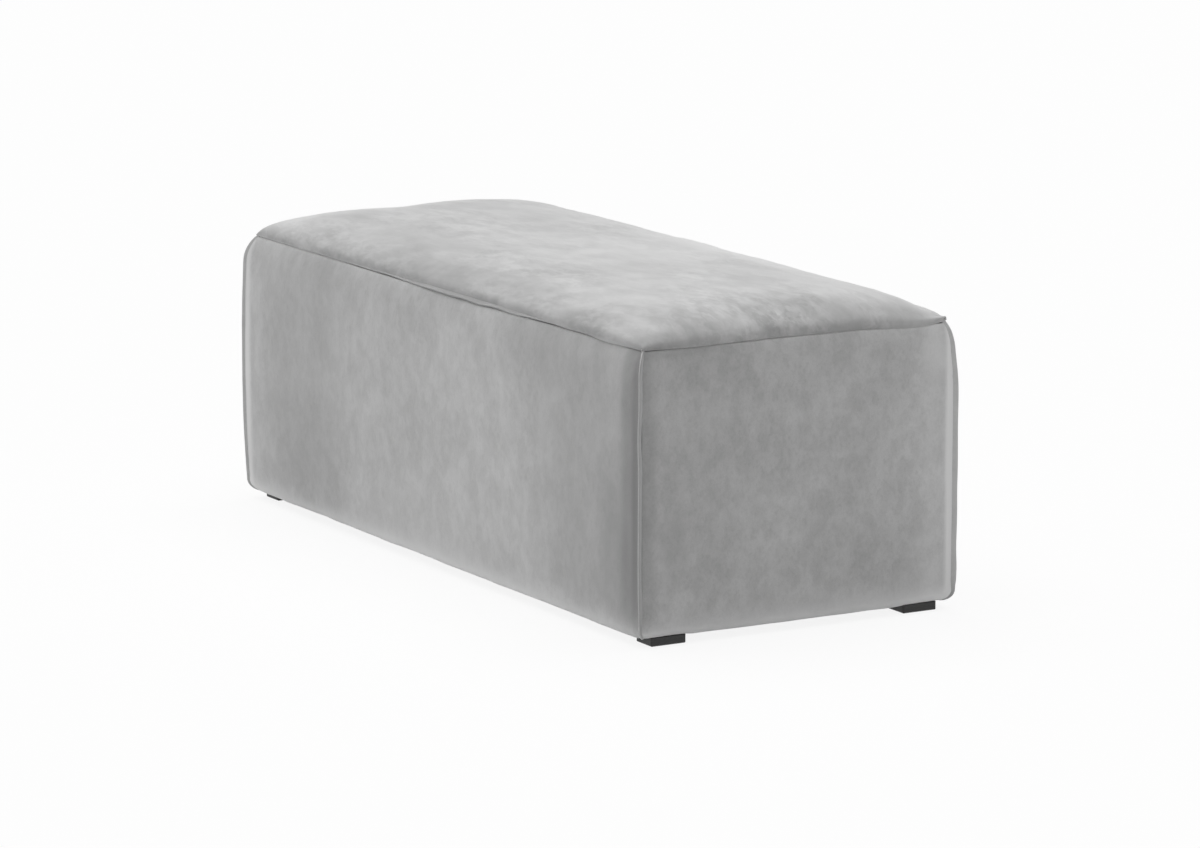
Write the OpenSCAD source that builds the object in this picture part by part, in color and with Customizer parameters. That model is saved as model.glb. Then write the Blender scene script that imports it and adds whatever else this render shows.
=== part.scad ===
// Long rectangular pouf: a timber frame with interlaced elastic webbing, a foam
// seat under a crowned fibre layer, wadding on its four sides, a sewn cover with
// raised seams, a lining underneath and four low plastic feet.
// The origin is on the floor under the middle of the pouf. X runs along its
// length, Y from the front to the back, and Z up.

/* [Overall size] */
// Length over the end panels where they are fullest
body_l = 1190; // [1000:10:1400]
// Depth over the front and back panels where they are fullest
body_w = 508; // [460:4:620]
// Height of the top seam above the floor
seam_h = 410; // [390:5:480]
// Rise of the crowned top above the top seam
crown_h = 42; // [25:1:60]
// Distance from an end over which the top rises to its full height
crown_run_l = 122; // [90:2:200]
// Distance from the front or the back over which the top rises to its full height
crown_run_w = 185; // [120:5:205]
// Power of the crown's curve, where 2 is an ellipse and more is fuller
crown_power = 2.27; // [2:0.01:3]

/* [Cover] */
// Thickness of the cover cloth
cloth_t = 2; // [1:0.25:3]
// How far the sides are drawn in where they meet the top seam
draw_in = 13; // [9:1:17]
// Height below the top seam over which the sides are drawn in
shoulder_h = 40; // [35:1:55]
// Radius of the rounded bottom edge
edge_r = 16; // [12:1:20]
// Width of cloth turned under the frame, measured from the fullest face
hem_w = 34; // [28:1:40]
// Thickness of a raised seam
seam_t = 3.6; // [2.4:0.2:5]
// How far a raised seam stands out of the cover
seam_out = 4; // [2:0.5:6]
// Depth of a seam's allowance inside the cover
seam_in = 7; // [4:0.5:7.5]
// How far a corner seam stands out at its upper end, under the top seam
seam_tip_out = 1; // [0.5:0.5:2]
// Height below the top seam over which a corner seam grows to its full width
seam_grow_h = 14; // [8:1:30]
// Height above the floor below which the corner seams lie flush
flush_seam_h = 38; // [32:1:60]
// Clearance between neighbouring soft pieces
soft_gap = 0.1; // [0.05:0.05:0.25]

/* [Padding] */
// Thickness of the wadding on the sides
wadding_t = 8; // [8:0.5:12]
// Least thickness of the fibre layer, at its edge
fibre_edge_t = 0.5; // [0.5:0.25:1.5]
// Thickness of the felt between the webbing and the seat foam
felt_t = 3; // [2:0.5:5]
// Distance from the edge of the frame to the edge of the felt
felt_inset = 6; // [2:1:20]

/* [Timber frame] */
// Height of the frame's top above the floor
frame_h = 300; // [260:5:320]
// Thickness of the top rails, studs, cross rails and spreader
rail_t = 24; // [20:1:30]
// Height of the top rails
rail_h = 45; // [38:1:60]
// Side of a corner post, and width of a base rail
post_w = 45; // [40:1:50]
// Height of the base rails
base_rail_h = 45; // [38:1:60]
// Width of a stud
stud_w = 40; // [30:1:60]
// Distance from the middle of the pouf to a cross rail
cross_x = 190; // [120:5:260]
// Height of the spreader under the seat
spreader_h = 38; // [34:1:41]
// Distance from the underside of the top rails up to the spreader
spreader_lift = 3; // [1:1:4]
// Depth of the hollow in the spreader's top edge
scoop_d = 10; // [4:1:12]
// Length of a gusset along each rail
gusset_l = 70; // [50:5:90]
// Thickness of a gusset
gusset_t = 18; // [9:1:20]
// Distance from the frame's top down to a gusset
gusset_drop = 12; // [6:1:20]
// Thickness of the hardboard sides
board_t = 3; // [2:0.5:4]

/* [Fixings] */
// Diameter of a dowel
dowel_d = 8; // [6:1:10]
// Length of a dowel
dowel_l = 40; // [30:2:44]
// Distance from a joint's middle to each dowel of a pair
dowel_spread = 10; // [8:1:12]
// Side of a staple's square wire
wire_t = 1.2; // [0.8:0.1:1.6]
// Width of a staple over its legs
staple_w = 12; // [8:1:16]
// Length of a staple's legs
staple_leg = 10; // [6:1:14]
// Distance between staples round the lining
staple_pitch = 80; // [60:5:120]
// Clearance round a dowel, a staple or a screw in its hole
fit_gap = 0.15; // [0.05:0.05:0.3]

/* [Webbing] */
// Width of a strap
strap_w = 70; // [50:2:80]
// Thickness of a strap
strap_t = 2; // [1:0.25:3]
// Clearance between two straps where they cross
strap_gap = 0.2; // [0.1:0.05:0.4]
// Length of the flat part of a strap beyond each side of a crossing
strap_flat = 4; // [2:1:10]
// Distance from the frame's edge to the end of a strap
strap_end = 3; // [1:1:6]

/* [Lining and feet] */
// Thickness of the lining
lining_t = 1; // [0.5:0.25:1.5]
// Distance from the fullest face to the edge of the lining
lining_inset = 22; // [18:1:30]
// Length of a foot along the pouf's length
foot_l = 41; // [36:1:48]
// Width of a foot along the pouf's depth
foot_w = 55; // [48:1:64]
// Height of a foot
foot_h = 12; // [10:1:20]
// Radius of a foot's upright corners
foot_r = 2.5; // [1:0.5:6]
// Chamfer round the lower edge of a foot
foot_chamfer = 1.5; // [0.5:0.5:3]
// Distance from an end of the pouf to a foot
foot_inset_l = 8; // [6:1:14]
// Distance from the front or the back of the pouf to a foot
foot_inset_w = 23; // [20:1:30]
// Distance between the two screws of a foot
screw_pitch = 28; // [24:1:32]
// Diameter of a foot screw's shank
screw_d = 4; // [3.5:0.25:5]
// Diameter of a foot screw's head
head_d = 8; // [7.5:0.25:9]
// Depth of a foot screw's head above the floor
head_recess = 2; // [1:0.5:4]
// Length of a foot screw
screw_l = 40; // [30:5:45]

/* [Hidden] */
SIDES = ["front", "right", "back", "left"];
CORNERS = ["front_left", "front_right", "back_left", "back_right"];
LONG_STRAPS = ["front", "middle", "back"];
CROSS_STRAPS = [1, 2, 3, 4, 5, 6];

velvet = [0.76, 0.76, 0.77];
velvet_edge = [0.66, 0.66, 0.67];
plastic = [0.09, 0.09, 0.1];
cloth_black = [0.16, 0.16, 0.17];
pine = [0.84, 0.7, 0.5];
hardboard = [0.5, 0.35, 0.22];
webbing_tan = [0.62, 0.5, 0.36];
foam = [0.95, 0.9, 0.7];
fibre = [0.96, 0.96, 0.94];
felt = [0.55, 0.56, 0.6];
steel = [0.7, 0.72, 0.75];

// Heights, from the floor up
under_z = foot_h + lining_t;
base_z = under_z + cloth_t;
base_top = base_z + base_rail_h;
strap_step = strap_t + strap_gap;
felt_z = frame_h + strap_step + strap_t;
seat_z = felt_z + felt_t;
wall_z = seam_h - shoulder_h;
panel_top = seam_h - seam_t / 2;
rim_z = seam_h + seam_t / 2;
top_z = seam_h + crown_h;

// Half sizes in plan, from the cover inwards
face_x = body_l / 2;
face_y = body_w / 2;
padding_t = cloth_t + wadding_t;
timber_x = face_x - padding_t - board_t;
timber_y = face_y - padding_t - board_t;
post_x = timber_x - post_w;
post_y = timber_y - post_w;
rail_mid_x = timber_x - rail_t / 2;
rail_mid_y = timber_y - rail_t / 2;
base_mid_x = timber_x - post_w / 2;
base_mid_y = timber_y - post_w / 2;
seam_x = face_x - draw_in;
seam_y = face_y - draw_in;

// The arc that draws a side in: upright at its lower end, drawn in at the seam
shoulder_r = (shoulder_h * shoulder_h + draw_in * draw_in) / (2 * draw_in);
// How far cutting shapes reach past a face, and how far joined shapes overlap
reach = 20;
lap = 5;
$fn = 48;
arc_fn = 160;

// Corner signs and the direction that each side faces
function is_right(name) = name == "right" || name == "front_right" || name == "back_right";
function is_back(name) = name == "back" || name == "back_left" || name == "back_right";
function corner_x(corner) = is_right(corner) ? 1 : -1;
function corner_y(corner) = is_back(corner) ? 1 : -1;
function is_end(side) = side == "left" || side == "right";
function side_sign(side) = is_right(side) || is_back(side) ? 1 : -1;
function side_angle(side) = side == "back" ? 0 : side == "left" ? 90 : side == "front" ? 180 : 270;
function face_of(side) = is_end(side) ? face_x : face_y;
function run_of(side) = is_end(side) ? face_y : face_x;

// Places of the pieces that repeat: [x, y, z, axis] of each dowel
base_mid = base_z + base_rail_h / 2;
top_mid = frame_h - rail_h / 2;
spreader_z = frame_h - rail_h + spreader_lift;
spread = [-dowel_spread, dowel_spread];
both = [-1, 1];
base_dowels = [for (i = both, j = both, d = spread) [i * post_x, j * base_mid_y, base_mid + d, "x"]];
top_dowels_x = [for (i = both, j = both, d = spread) [i * post_x, j * rail_mid_y, top_mid + d, "x"]];
top_dowels_y = [for (i = both, j = both, d = spread) [i * rail_mid_x, j * post_y, top_mid + d, "y"]];
post_dowels = [for (i = both, j = both) [i * (base_mid_x - dowel_d), j * base_mid_y, base_top, "z"]];
stud_dowels = [for (j = both, z = [base_top, frame_h - rail_h]) [0, j * rail_mid_y, z, "z"]];
cross_dowels = [for (i = both, j = both, d = spread) [i * cross_x, j * post_y, base_mid + d, "y"]];
spreader_dowels = [for (j = both) [0, j * (timber_y - rail_t), spreader_z + dowel_d, "y"]];

// Straps share out the opening inside the top rails
long_pitch = 2 * (timber_y - rail_t) / len(LONG_STRAPS);
cross_pitch = 2 * (timber_x - rail_t) / len(CROSS_STRAPS);
long_y = [for (i = [0 : len(LONG_STRAPS) - 1]) (i - (len(LONG_STRAPS) - 1) / 2) * long_pitch];
cross_at = [for (j = [0 : len(CROSS_STRAPS) - 1]) (j - (len(CROSS_STRAPS) - 1) / 2) * cross_pitch];
ease_steps = 8;

// Staples: [x, y, turn] of each, at the strap ends and round the lining
long_staples = [for (i = both, y = long_y, d = both) [i * rail_mid_x, y + d * strap_w / 4, 90]];
cross_staples = [for (j = both, x = cross_at, d = both) [x + d * strap_w / 4, j * rail_mid_y, 0]];
lining_staple_x = timber_x - 0.75 * post_w;
lining_staple_y = timber_y - 0.75 * post_w;
along_x = floor((post_x - staple_w) / staple_pitch);
along_y = floor((post_y - 2 * staple_w) / staple_pitch);
lining_staples_x = [for (j = both, i = [-along_x : along_x]) [i * staple_pitch, j * lining_staple_y, 0]];
lining_staples_y = [for (i = both, j = [-along_y : along_y]) [i * lining_staple_x, j * staple_pitch, 90]];

// Feet and their screws
foot_x = face_x - foot_inset_l - foot_l / 2;
foot_y = face_y - foot_inset_w - foot_w / 2;
screws = [for (i = both, j = both, d = both) [i * foot_x, j * foot_y + d * screw_pitch / 2]];

// Puts a section on one side of the pouf. It is drawn with x = 0 on the
// fullest face, x outwards and y upwards, and runs for a length along the side.
module along(side, length) {
    rotate([0, 0, side_angle(side)])
        translate([-length / 2, face_of(side), 0])
            rotate([90, 0, 90])
                linear_extrude(height = length)
                    children();
}

// The wedge in plan that one side takes between its two corner diagonals, held
// back from each diagonal by a gap
module mitre(side, gap) {
    cut = gap * sqrt(2);
    run = run_of(side) - cut;
    rotate([0, 0, side_angle(side)])
        linear_extrude(height = top_z)
            polygon([
                [-run - reach, face_of(side) + reach],
                [run + reach, face_of(side) + reach],
                [run - shoulder_r, face_of(side) - shoulder_r],
                [shoulder_r - run, face_of(side) - shoulder_r]
            ]);
}

// Filled section of a side, set in from the cover's face by inset, as deep as
// the centre of the shoulder's arc
module side_section(inset, bottom_z, z_max, bottom_r) {
    translate([-shoulder_r, bottom_z])
        square([shoulder_r - inset - bottom_r, wall_z - bottom_z]);
    if (bottom_r > 0) {
        translate([-inset - 2 * bottom_r, bottom_z + bottom_r])
            square([2 * bottom_r, wall_z - bottom_z - bottom_r]);
        translate([-inset - bottom_r, bottom_z + bottom_r])
            circle(r = bottom_r);
    }
    intersection() {
        translate([-shoulder_r, wall_z])
            circle(r = shoulder_r - inset, $fn = arc_fn);
        translate([-shoulder_r, wall_z])
            square([shoulder_r - inset, z_max - wall_z]);
    }
}

// Section right across the pouf, between two opposite faces
module full_section(half, inset, bottom_z, z_max) {
    for (turn = [0, 1])
        mirror([turn, 0])
            translate([half, 0])
                side_section(inset, bottom_z, z_max, 0);
    middle = half - shoulder_r + lap;
    translate([-middle, bottom_z])
        square([2 * middle, z_max - bottom_z]);
}

// Timber, with the bores of the dowels that enter it
module dowel_set(places, gap) {
    for (p = places)
        translate([p[0], p[1], p[2]])
            rotate(p[3] == "x" ? [0, 90, 0] : p[3] == "y" ? [90, 0, 0] : [0, 0, 0])
                cylinder(h = dowel_l + 2 * gap, d = dowel_d + 2 * gap, center = true);
}

module timber(low, high, bores) {
    color(pine)
        difference() {
            translate(low)
                cube(high - low);
            dowel_set(bores, fit_gap);
            children();
        }
}

module base_rail(side) {
    far = side_sign(side);
    if (is_end(side)) {
        x = [far * post_x, far * timber_x];
        timber([min(x), -timber_y, base_z], [max(x), timber_y, base_top],
               concat(base_dowels, post_dowels)) {
            screw_holes();
            at_staples(lining_staples_y, foot_h, 180) staple_legs(fit_gap);
        }
    } else {
        y = [far * post_y, far * timber_y];
        timber([-post_x, min(y), base_z], [post_x, max(y), base_top],
               concat(base_dowels, stud_dowels, cross_dowels))
            at_staples(lining_staples_x, foot_h, 180) staple_legs(fit_gap);
    }
}

module top_rail(side) {
    far = side_sign(side);
    if (is_end(side)) {
        x = [far * (timber_x - rail_t), far * timber_x];
        timber([min(x), -post_y, frame_h - rail_h], [max(x), post_y, frame_h], top_dowels_y)
            at_staples(long_staples, frame_h + strap_t, 0) staple_legs(fit_gap);
    } else {
        y = [far * (timber_y - rail_t), far * timber_y];
        timber([-post_x, min(y), frame_h - rail_h], [post_x, max(y), frame_h],
               concat(top_dowels_x, stud_dowels, spreader_dowels))
            at_staples(cross_staples, frame_h + strap_t, 0) staple_legs(fit_gap);
    }
}

module post(corner) {
    x = corner_x(corner) * [post_x, timber_x];
    y = corner_y(corner) * [post_y, timber_y];
    timber([min(x), min(y), base_top], [max(x), max(y), frame_h],
           concat(post_dowels, top_dowels_x, top_dowels_y));
}

// Plywood triangle in the corner of the top rails, notched round the post
module gusset(corner) {
    inner_x = timber_x - rail_t;
    inner_y = timber_y - rail_t;
    color(pine)
        translate([0, 0, frame_h - gusset_drop - gusset_t])
            linear_extrude(height = gusset_t)
                scale([corner_x(corner), corner_y(corner)])
                    polygon([
                        [post_x - gusset_l, inner_y],
                        [post_x, inner_y],
                        [post_x, post_y],
                        [inner_x, post_y],
                        [inner_x, post_y - gusset_l]
                    ]);
}

module stud(side) {
    y = side_sign(side) * [timber_y - rail_t, timber_y];
    timber([-stud_w / 2, min(y), base_top], [stud_w / 2, max(y), frame_h - rail_h], stud_dowels);
}

module cross_rail(side) {
    x = side_sign(side) * cross_x;
    timber([x - rail_t / 2, -post_y, base_z], [x + rail_t / 2, post_y, base_top], cross_dowels);
}

// The spreader keeps the long rails apart. Its top is hollowed out, so that the
// webbing can sink towards it.
module spreader() {
    span = timber_y - rail_t;
    scoop_r = (span * span + scoop_d * scoop_d) / (2 * scoop_d);
    timber([-rail_t / 2, -span, spreader_z], [rail_t / 2, span, spreader_z + spreader_h],
           spreader_dowels)
        translate([0, 0, spreader_z + spreader_h - scoop_d + scoop_r])
            rotate([0, 90, 0])
                cylinder(h = rail_t + 2 * lap, r = scoop_r, center = true, $fn = arc_fn);
}

module dowels() {
    color(pine)
        dowel_set(concat(base_dowels, top_dowels_x, top_dowels_y, post_dowels, stud_dowels,
                         cross_dowels, spreader_dowels), 0);
}

// The end boards cover the edges of the front and back boards
module side_board(side) {
    run = is_end(side) ? timber_y + board_t : timber_x;
    color(hardboard)
        along(side, 2 * run)
            translate([-padding_t - board_t, base_z])
                square([board_t, frame_h - base_z]);
}

// A staple lies with its crown on z = 0 and its legs below
module staple() {
    translate([-staple_w / 2, -wire_t / 2, 0])
        cube([staple_w, wire_t, wire_t]);
    staple_legs(0);
}

module staple_legs(gap) {
    for (i = both)
        translate([i * (staple_w - wire_t) / 2 - wire_t / 2 - gap, -wire_t / 2 - gap, -staple_leg - gap])
            cube([wire_t + 2 * gap, wire_t + 2 * gap, staple_leg + 2 * gap]);
}

// Puts a staple or its holes at each place. Tipped by 180, it points up.
module at_staples(places, z, tip) {
    for (p = places)
        translate([p[0], p[1], z])
            rotate([tip, 0, p[2]])
                children();
}

// Webbing. A strap lies flat at its ends and at each crossing, and eases from
// one level to the other between them. Each flat is [start, end, level].
function level(i, j) = (i + j) % 2;
function eased(a, b) = a[2] == b[2] ? [] : [
    for (k = [1 : ease_steps - 1])
        let (u = k / ease_steps)
            [a[1] + (b[0] - a[1]) * u, (a[2] + (b[2] - a[2]) * (1 - cos(180 * u)) / 2) * strap_step]
];
function strap_line(flats) = [
    for (k = [0 : len(flats) - 1])
        each concat(
            [[flats[k][0], flats[k][2] * strap_step], [flats[k][1], flats[k][2] * strap_step]],
            k < len(flats) - 1 ? eased(flats[k], flats[k + 1]) : []
        )
];
function strap_flats(end, inner, crossings) = concat(
    [[-end, -inner, 0]],
    [for (c = crossings) [c[0] - strap_w / 2 - strap_flat, c[0] + strap_w / 2 + strap_flat, c[1]]],
    [[inner, end, 0]]
);

// A strap along X with its underside on z = 0 at its ends
module strap(half, crossings) {
    line = strap_line(strap_flats(half - strap_end, half - rail_t, crossings));
    back = [for (k = [len(line) - 1 : -1 : 0]) line[k] + [0, strap_t]];
    translate([0, strap_w / 2, 0])
        rotate([90, 0, 0])
            linear_extrude(height = strap_w)
                polygon(concat(line, back));
}

module webbing_long(i) {
    color(webbing_tan)
        difference() {
            translate([0, long_y[i], frame_h])
                strap(timber_x, [for (j = [0 : len(cross_at) - 1]) [cross_at[j], level(i, j)]]);
            at_staples(long_staples, frame_h + strap_t, 0)
                staple_legs(fit_gap);
        }
}

module webbing_cross(j) {
    color(webbing_tan)
        difference() {
            translate([cross_at[j], 0, frame_h])
                rotate([0, 0, 90])
                    strap(timber_y, [for (i = [0 : len(long_y) - 1]) [long_y[i], 1 - level(i, j)]]);
            at_staples(cross_staples, frame_h + strap_t, 0)
                staple_legs(fit_gap);
        }
}

module webbing_staples() {
    color(steel)
        at_staples(concat(long_staples, cross_staples), frame_h + strap_t, 0)
            staple();
}

module felt_insulator() {
    x = timber_x - felt_inset;
    y = timber_y - felt_inset;
    color(felt)
        translate([-x, -y, felt_z])
            cube([2 * x, 2 * y, felt_t]);
}

// The seat foam has the drawn-in sides of the cover, set in by the wadding
module seat_foam() {
    color(foam)
        intersection() {
            translate([0, face_y, 0])
                rotate([90, 0, 0])
                    linear_extrude(height = body_w)
                        full_section(face_x, padding_t + soft_gap, seat_z, rim_z);
            translate([-face_x, 0, 0])
                rotate([90, 0, 90])
                    linear_extrude(height = body_l)
                        full_section(face_y, padding_t + soft_gap, seat_z, rim_z);
        }
}

// Crowned top. The crown rises from the seam on a superellipse along each
// direction, and its grid lines stand closer together where it is steep.
crown_edge_n = 9;
crown_mid_nx = 8;
crown_mid_ny = 2;
function swell(d, run) = pow(1 - pow(1 - min(max(d / run, 0), 1), crown_power), 1 / crown_power);
function crown_at(x, y, inset) =
    (crown_h - seam_t / 2 - inset)
    * swell(seam_x - inset - abs(x), crown_run_l - inset)
    * swell(seam_y - inset - abs(y), crown_run_w - inset);
function edge_part(i) = 1 - pow(cos(90 * i / crown_edge_n), 2 / crown_power);
function grid_line(half, run, mid_n) = concat(
    [for (i = [0 : crown_edge_n]) run * edge_part(i) - half],
    [for (i = [1 : mid_n - 1]) (half - run) * (2 * i / mid_n - 1)],
    [for (i = [crown_edge_n : -1 : 0]) half - run * edge_part(i)]
);
function crown_points(inset, lift) =
    let (
        xs = grid_line(seam_x - inset, crown_run_l - inset, crown_mid_nx),
        ys = grid_line(seam_y - inset, crown_run_w - inset, crown_mid_ny)
    )
    [for (y = ys, x = xs) [x, y, rim_z + max(crown_at(x, y, inset), lift)]];

// Two grids of nx by ny points, one over the other, joined round their rims
function grid_rim(nx, ny) = concat(
    [for (i = [0 : nx - 2]) i],
    [for (j = [0 : ny - 2]) j * nx + nx - 1],
    [for (i = [nx - 1 : -1 : 1]) (ny - 1) * nx + i],
    [for (j = [ny - 1 : -1 : 1]) j * nx]
);
module grid_solid(upper, lower, nx, ny) {
    n = nx * ny;
    rim = grid_rim(nx, ny);
    cells = [for (j = [0 : ny - 2], i = [0 : nx - 2]) j * nx + i];
    polyhedron(
        points = concat(upper, lower),
        faces = concat(
            [for (k = [0 : len(rim) - 1])
                let (a = rim[k], b = rim[(k + 1) % len(rim)])
                    each [[a, b, n + b], [a, n + b, n + a]]],
            [for (p = cells) each [[p, p + nx, p + nx + 1], [p, p + nx + 1, p + 1]]],
            [for (p = cells) each [[n + p, n + p + nx + 1, n + p + nx], [n + p, n + p + 1, n + p + nx + 1]]]
        )
    );
}
crown_nx = 2 * (crown_edge_n + 1) + crown_mid_nx - 1;
crown_ny = 2 * (crown_edge_n + 1) + crown_mid_ny - 1;

module cover_top() {
    color(velvet)
        grid_solid(crown_points(0, 0), crown_points(cloth_t, 0), crown_nx, crown_ny);
}

// Fibre between the flat foam and the crowned cover
module crown_fibre() {
    upper = crown_points(cloth_t + soft_gap, fibre_edge_t);
    color(fibre)
        grid_solid(upper, [for (p = upper) [p[0], p[1], rim_z]], crown_nx, crown_ny);
}

// Sides of the cover and the wadding behind them. Both stop short of the
// corner seams that stand between them.
module side_piece(side) {
    intersection() {
        along(side, 2 * run_of(side))
            children();
        mitre(side, seam_t / 2 + soft_gap);
    }
}

module cover_side(side) {
    color(velvet)
        difference() {
            side_piece(side)
                intersection() {
                    difference() {
                        side_section(0, under_z, panel_top, edge_r);
                        side_section(cloth_t, base_z, seam_h, edge_r - cloth_t);
                    }
                    translate([-hem_w, 0])
                        square([hem_w + reach, top_z]);
                }
            if (is_end(side))
                screw_holes();
        }
}

module side_wadding(side) {
    inset = cloth_t + soft_gap;
    color(fibre)
        side_piece(side)
            difference() {
                side_section(inset, base_z + soft_gap, panel_top, edge_r - inset);
                side_section(padding_t, 0, seam_h, 0);
            }
}

// Raised seam round the top, with a round lip
module seam_top() {
    lip_r = seam_t / 2;
    color(velvet_edge)
        union()
            for (side = SIDES)
                intersection() {
                    along(side, 2 * run_of(side))
                        translate([-draw_in, seam_h]) {
                            translate([-seam_in, -lip_r])
                                square([seam_in + seam_out - lip_r, seam_t]);
                            translate([seam_out - lip_r, 0])
                                circle(r = lip_r);
                        }
                    mitre(side, 0);
                }
}

// Where the drawn-in side lies at a height, and a face set out from it
function face_at(z, out) = sqrt(pow(shoulder_r + out, 2) - pow(max(z - wall_z, 0), 2)) - shoulder_r;

// Section of a corner seam: raised above flush_seam_h, flush below it and
// under the frame. It grows from its upper end to its full width.
module seam_section() {
    tip = face_at(panel_top, seam_tip_out);
    growth = (face_at(panel_top - seam_grow_h, seam_out) - tip) / seam_grow_h;
    difference() {
        union() {
            intersection() {
                side_section(0, under_z, panel_top, edge_r);
                translate([-hem_w, 0])
                    square([hem_w, top_z]);
            }
            intersection() {
                side_section(-seam_out, under_z, panel_top, edge_r);
                polygon([
                    [-hem_w, flush_seam_h],
                    [0, flush_seam_h],
                    [reach, flush_seam_h + reach],
                    [reach, panel_top - (reach - tip) / growth],
                    [tip, panel_top],
                    [-hem_w, panel_top]
                ]);
            }
        }
        side_section(seam_in, base_z, seam_h, edge_r - seam_in);
    }
}

// A corner seam is the strip on the corner's diagonal, one half from each side
module seam_corner(corner) {
    sides = [is_right(corner) ? "right" : "left", is_back(corner) ? "back" : "front"];
    color(velvet_edge)
        intersection() {
            for (side = sides)
                difference() {
                    intersection() {
                        along(side, 2 * (run_of(side) + reach))
                            seam_section();
                        mitre(side, 0);
                    }
                    mitre(side, seam_t / 2);
                }
            translate([is_right(corner) ? 0 : -face_x - reach, is_back(corner) ? 0 : -face_y - reach, 0])
                cube([face_x + reach, face_y + reach, top_z]);
        }
}

module lining() {
    x = face_x - lining_inset;
    y = face_y - lining_inset;
    color(cloth_black)
        difference() {
            translate([-x, -y, foot_h])
                cube([2 * x, 2 * y, lining_t]);
            at_staples(concat(lining_staples_x, lining_staples_y), foot_h, 180)
                staple_legs(fit_gap);
            screw_holes();
        }
}

module lining_staples() {
    color(steel)
        at_staples(concat(lining_staples_x, lining_staples_y), foot_h, 180)
            staple();
}

// Feet: a low block with a chamfer round its lower edge and two countersunk
// holes, whose screws reach the base rail
module foot_plan() {
    square([foot_l - 2 * foot_r, foot_w], center = true);
    square([foot_l, foot_w - 2 * foot_r], center = true);
    for (i = both, j = both)
        translate([i * (foot_l / 2 - foot_r), j * (foot_w / 2 - foot_r)])
            circle(r = foot_r);
}

module foot_section(size) {
    half = size / 2;
    polygon([
        [foot_chamfer - half, 0],
        [half - foot_chamfer, 0],
        [half, foot_chamfer],
        [half, foot_h],
        [-half, foot_h],
        [-half, foot_chamfer]
    ]);
}

module foot(corner) {
    color(plastic)
        difference() {
            translate([corner_x(corner) * foot_x, corner_y(corner) * foot_y, 0])
                intersection() {
                    linear_extrude(height = foot_h)
                        foot_plan();
                    translate([0, foot_w / 2, 0])
                        rotate([90, 0, 0])
                            linear_extrude(height = foot_w)
                                foot_section(foot_l);
                    translate([-foot_l / 2, 0, 0])
                        rotate([90, 0, 90])
                            linear_extrude(height = foot_l)
                                foot_section(foot_w);
                }
            screw_holes();
        }
}

module screw_shape(gap) {
    head_r = head_d / 2 + gap;
    shank_r = screw_d / 2 + gap;
    tip_z = head_recess + screw_l;
    if (gap > 0)
        translate([0, 0, -lap])
            cylinder(h = head_recess + lap, r = head_r);
    translate([0, 0, head_recess])
        cylinder(h = head_r - shank_r, r1 = head_r, r2 = shank_r);
    translate([0, 0, head_recess])
        cylinder(h = screw_l - screw_d, r = shank_r);
    translate([0, 0, tip_z - screw_d])
        cylinder(h = screw_d + gap, r1 = shank_r, r2 = shank_r / 4);
}

module screw_holes() {
    for (p = screws)
        translate([p[0], p[1], 0])
            screw_shape(fit_gap);
}

module foot_screws() {
    color(steel)
        for (p = screws)
            translate([p[0], p[1], 0])
                screw_shape(0);
}

for (s = SIDES)
    base_rail(s);
for (s = SIDES)
    top_rail(s);
for (c = CORNERS)
    post(c);
for (c = CORNERS)
    gusset(c);
stud("front");  // stud_front
stud("back");  // stud_back
cross_rail("left");  // cross_rail_left
cross_rail("right");  // cross_rail_right
spreader();
dowels();
for (s = SIDES)
    side_board(s);
for (i = [0 : len(LONG_STRAPS) - 1])
    webbing_long(i);
for (j = [0 : len(CROSS_STRAPS) - 1])
    webbing_cross(j);
webbing_staples();
felt_insulator();
seat_foam();
crown_fibre();
for (s = SIDES)
    side_wadding(s);
cover_top();
for (s = SIDES)
    cover_side(s);
seam_top();
for (c = CORNERS)
    seam_corner(c);
lining();
lining_staples();
for (c = CORNERS)
    foot(c);
foot_screws();
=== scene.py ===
"""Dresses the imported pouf: a velvet cover with raised seams over its padding, the
lining underneath, the feet and their screws, and a finish for every inner piece."""

import math

import bmesh
import bpy
import numpy as np
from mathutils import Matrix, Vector


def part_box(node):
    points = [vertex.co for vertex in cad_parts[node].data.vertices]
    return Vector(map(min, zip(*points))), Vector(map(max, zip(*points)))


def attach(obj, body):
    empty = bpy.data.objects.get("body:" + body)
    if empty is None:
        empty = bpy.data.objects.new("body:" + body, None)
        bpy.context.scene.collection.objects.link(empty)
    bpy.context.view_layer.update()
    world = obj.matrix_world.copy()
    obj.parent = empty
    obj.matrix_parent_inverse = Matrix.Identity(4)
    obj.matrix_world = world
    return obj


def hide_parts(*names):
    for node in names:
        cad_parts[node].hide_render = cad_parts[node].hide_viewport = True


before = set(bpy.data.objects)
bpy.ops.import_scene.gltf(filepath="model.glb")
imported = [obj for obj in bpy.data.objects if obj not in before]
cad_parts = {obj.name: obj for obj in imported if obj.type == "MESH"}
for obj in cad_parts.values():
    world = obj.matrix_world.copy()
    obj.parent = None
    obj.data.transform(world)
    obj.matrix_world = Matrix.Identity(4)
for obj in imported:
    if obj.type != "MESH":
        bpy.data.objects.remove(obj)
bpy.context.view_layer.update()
scene = bpy.context.scene
MM = 0.001

# The camera of the photograph: its place, its angles in degrees and its lens
CAMERA_AT = (6.518, -3.723, 1.6195)
CAMERA_TILT = 79.21
CAMERA_TURN = 60.09
CAMERA_LENS = 156.46
# The lamps: the direction towards each, how wide it is in degrees, and its strength
LAMPS = {"overhead": ((-0.1, 0, 1), 75, 2.45), "left": ((-1, -0.9, 0.4), 50, 0.27)}
# The surround's light, the share of white in the floor's look, its half size and depth
SURROUND_LIGHT = 0.15
FLOOR_WHITE = 0.88
FLOOR_REACH = 30
FLOOR_DROP = 0.2 * MM

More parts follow.
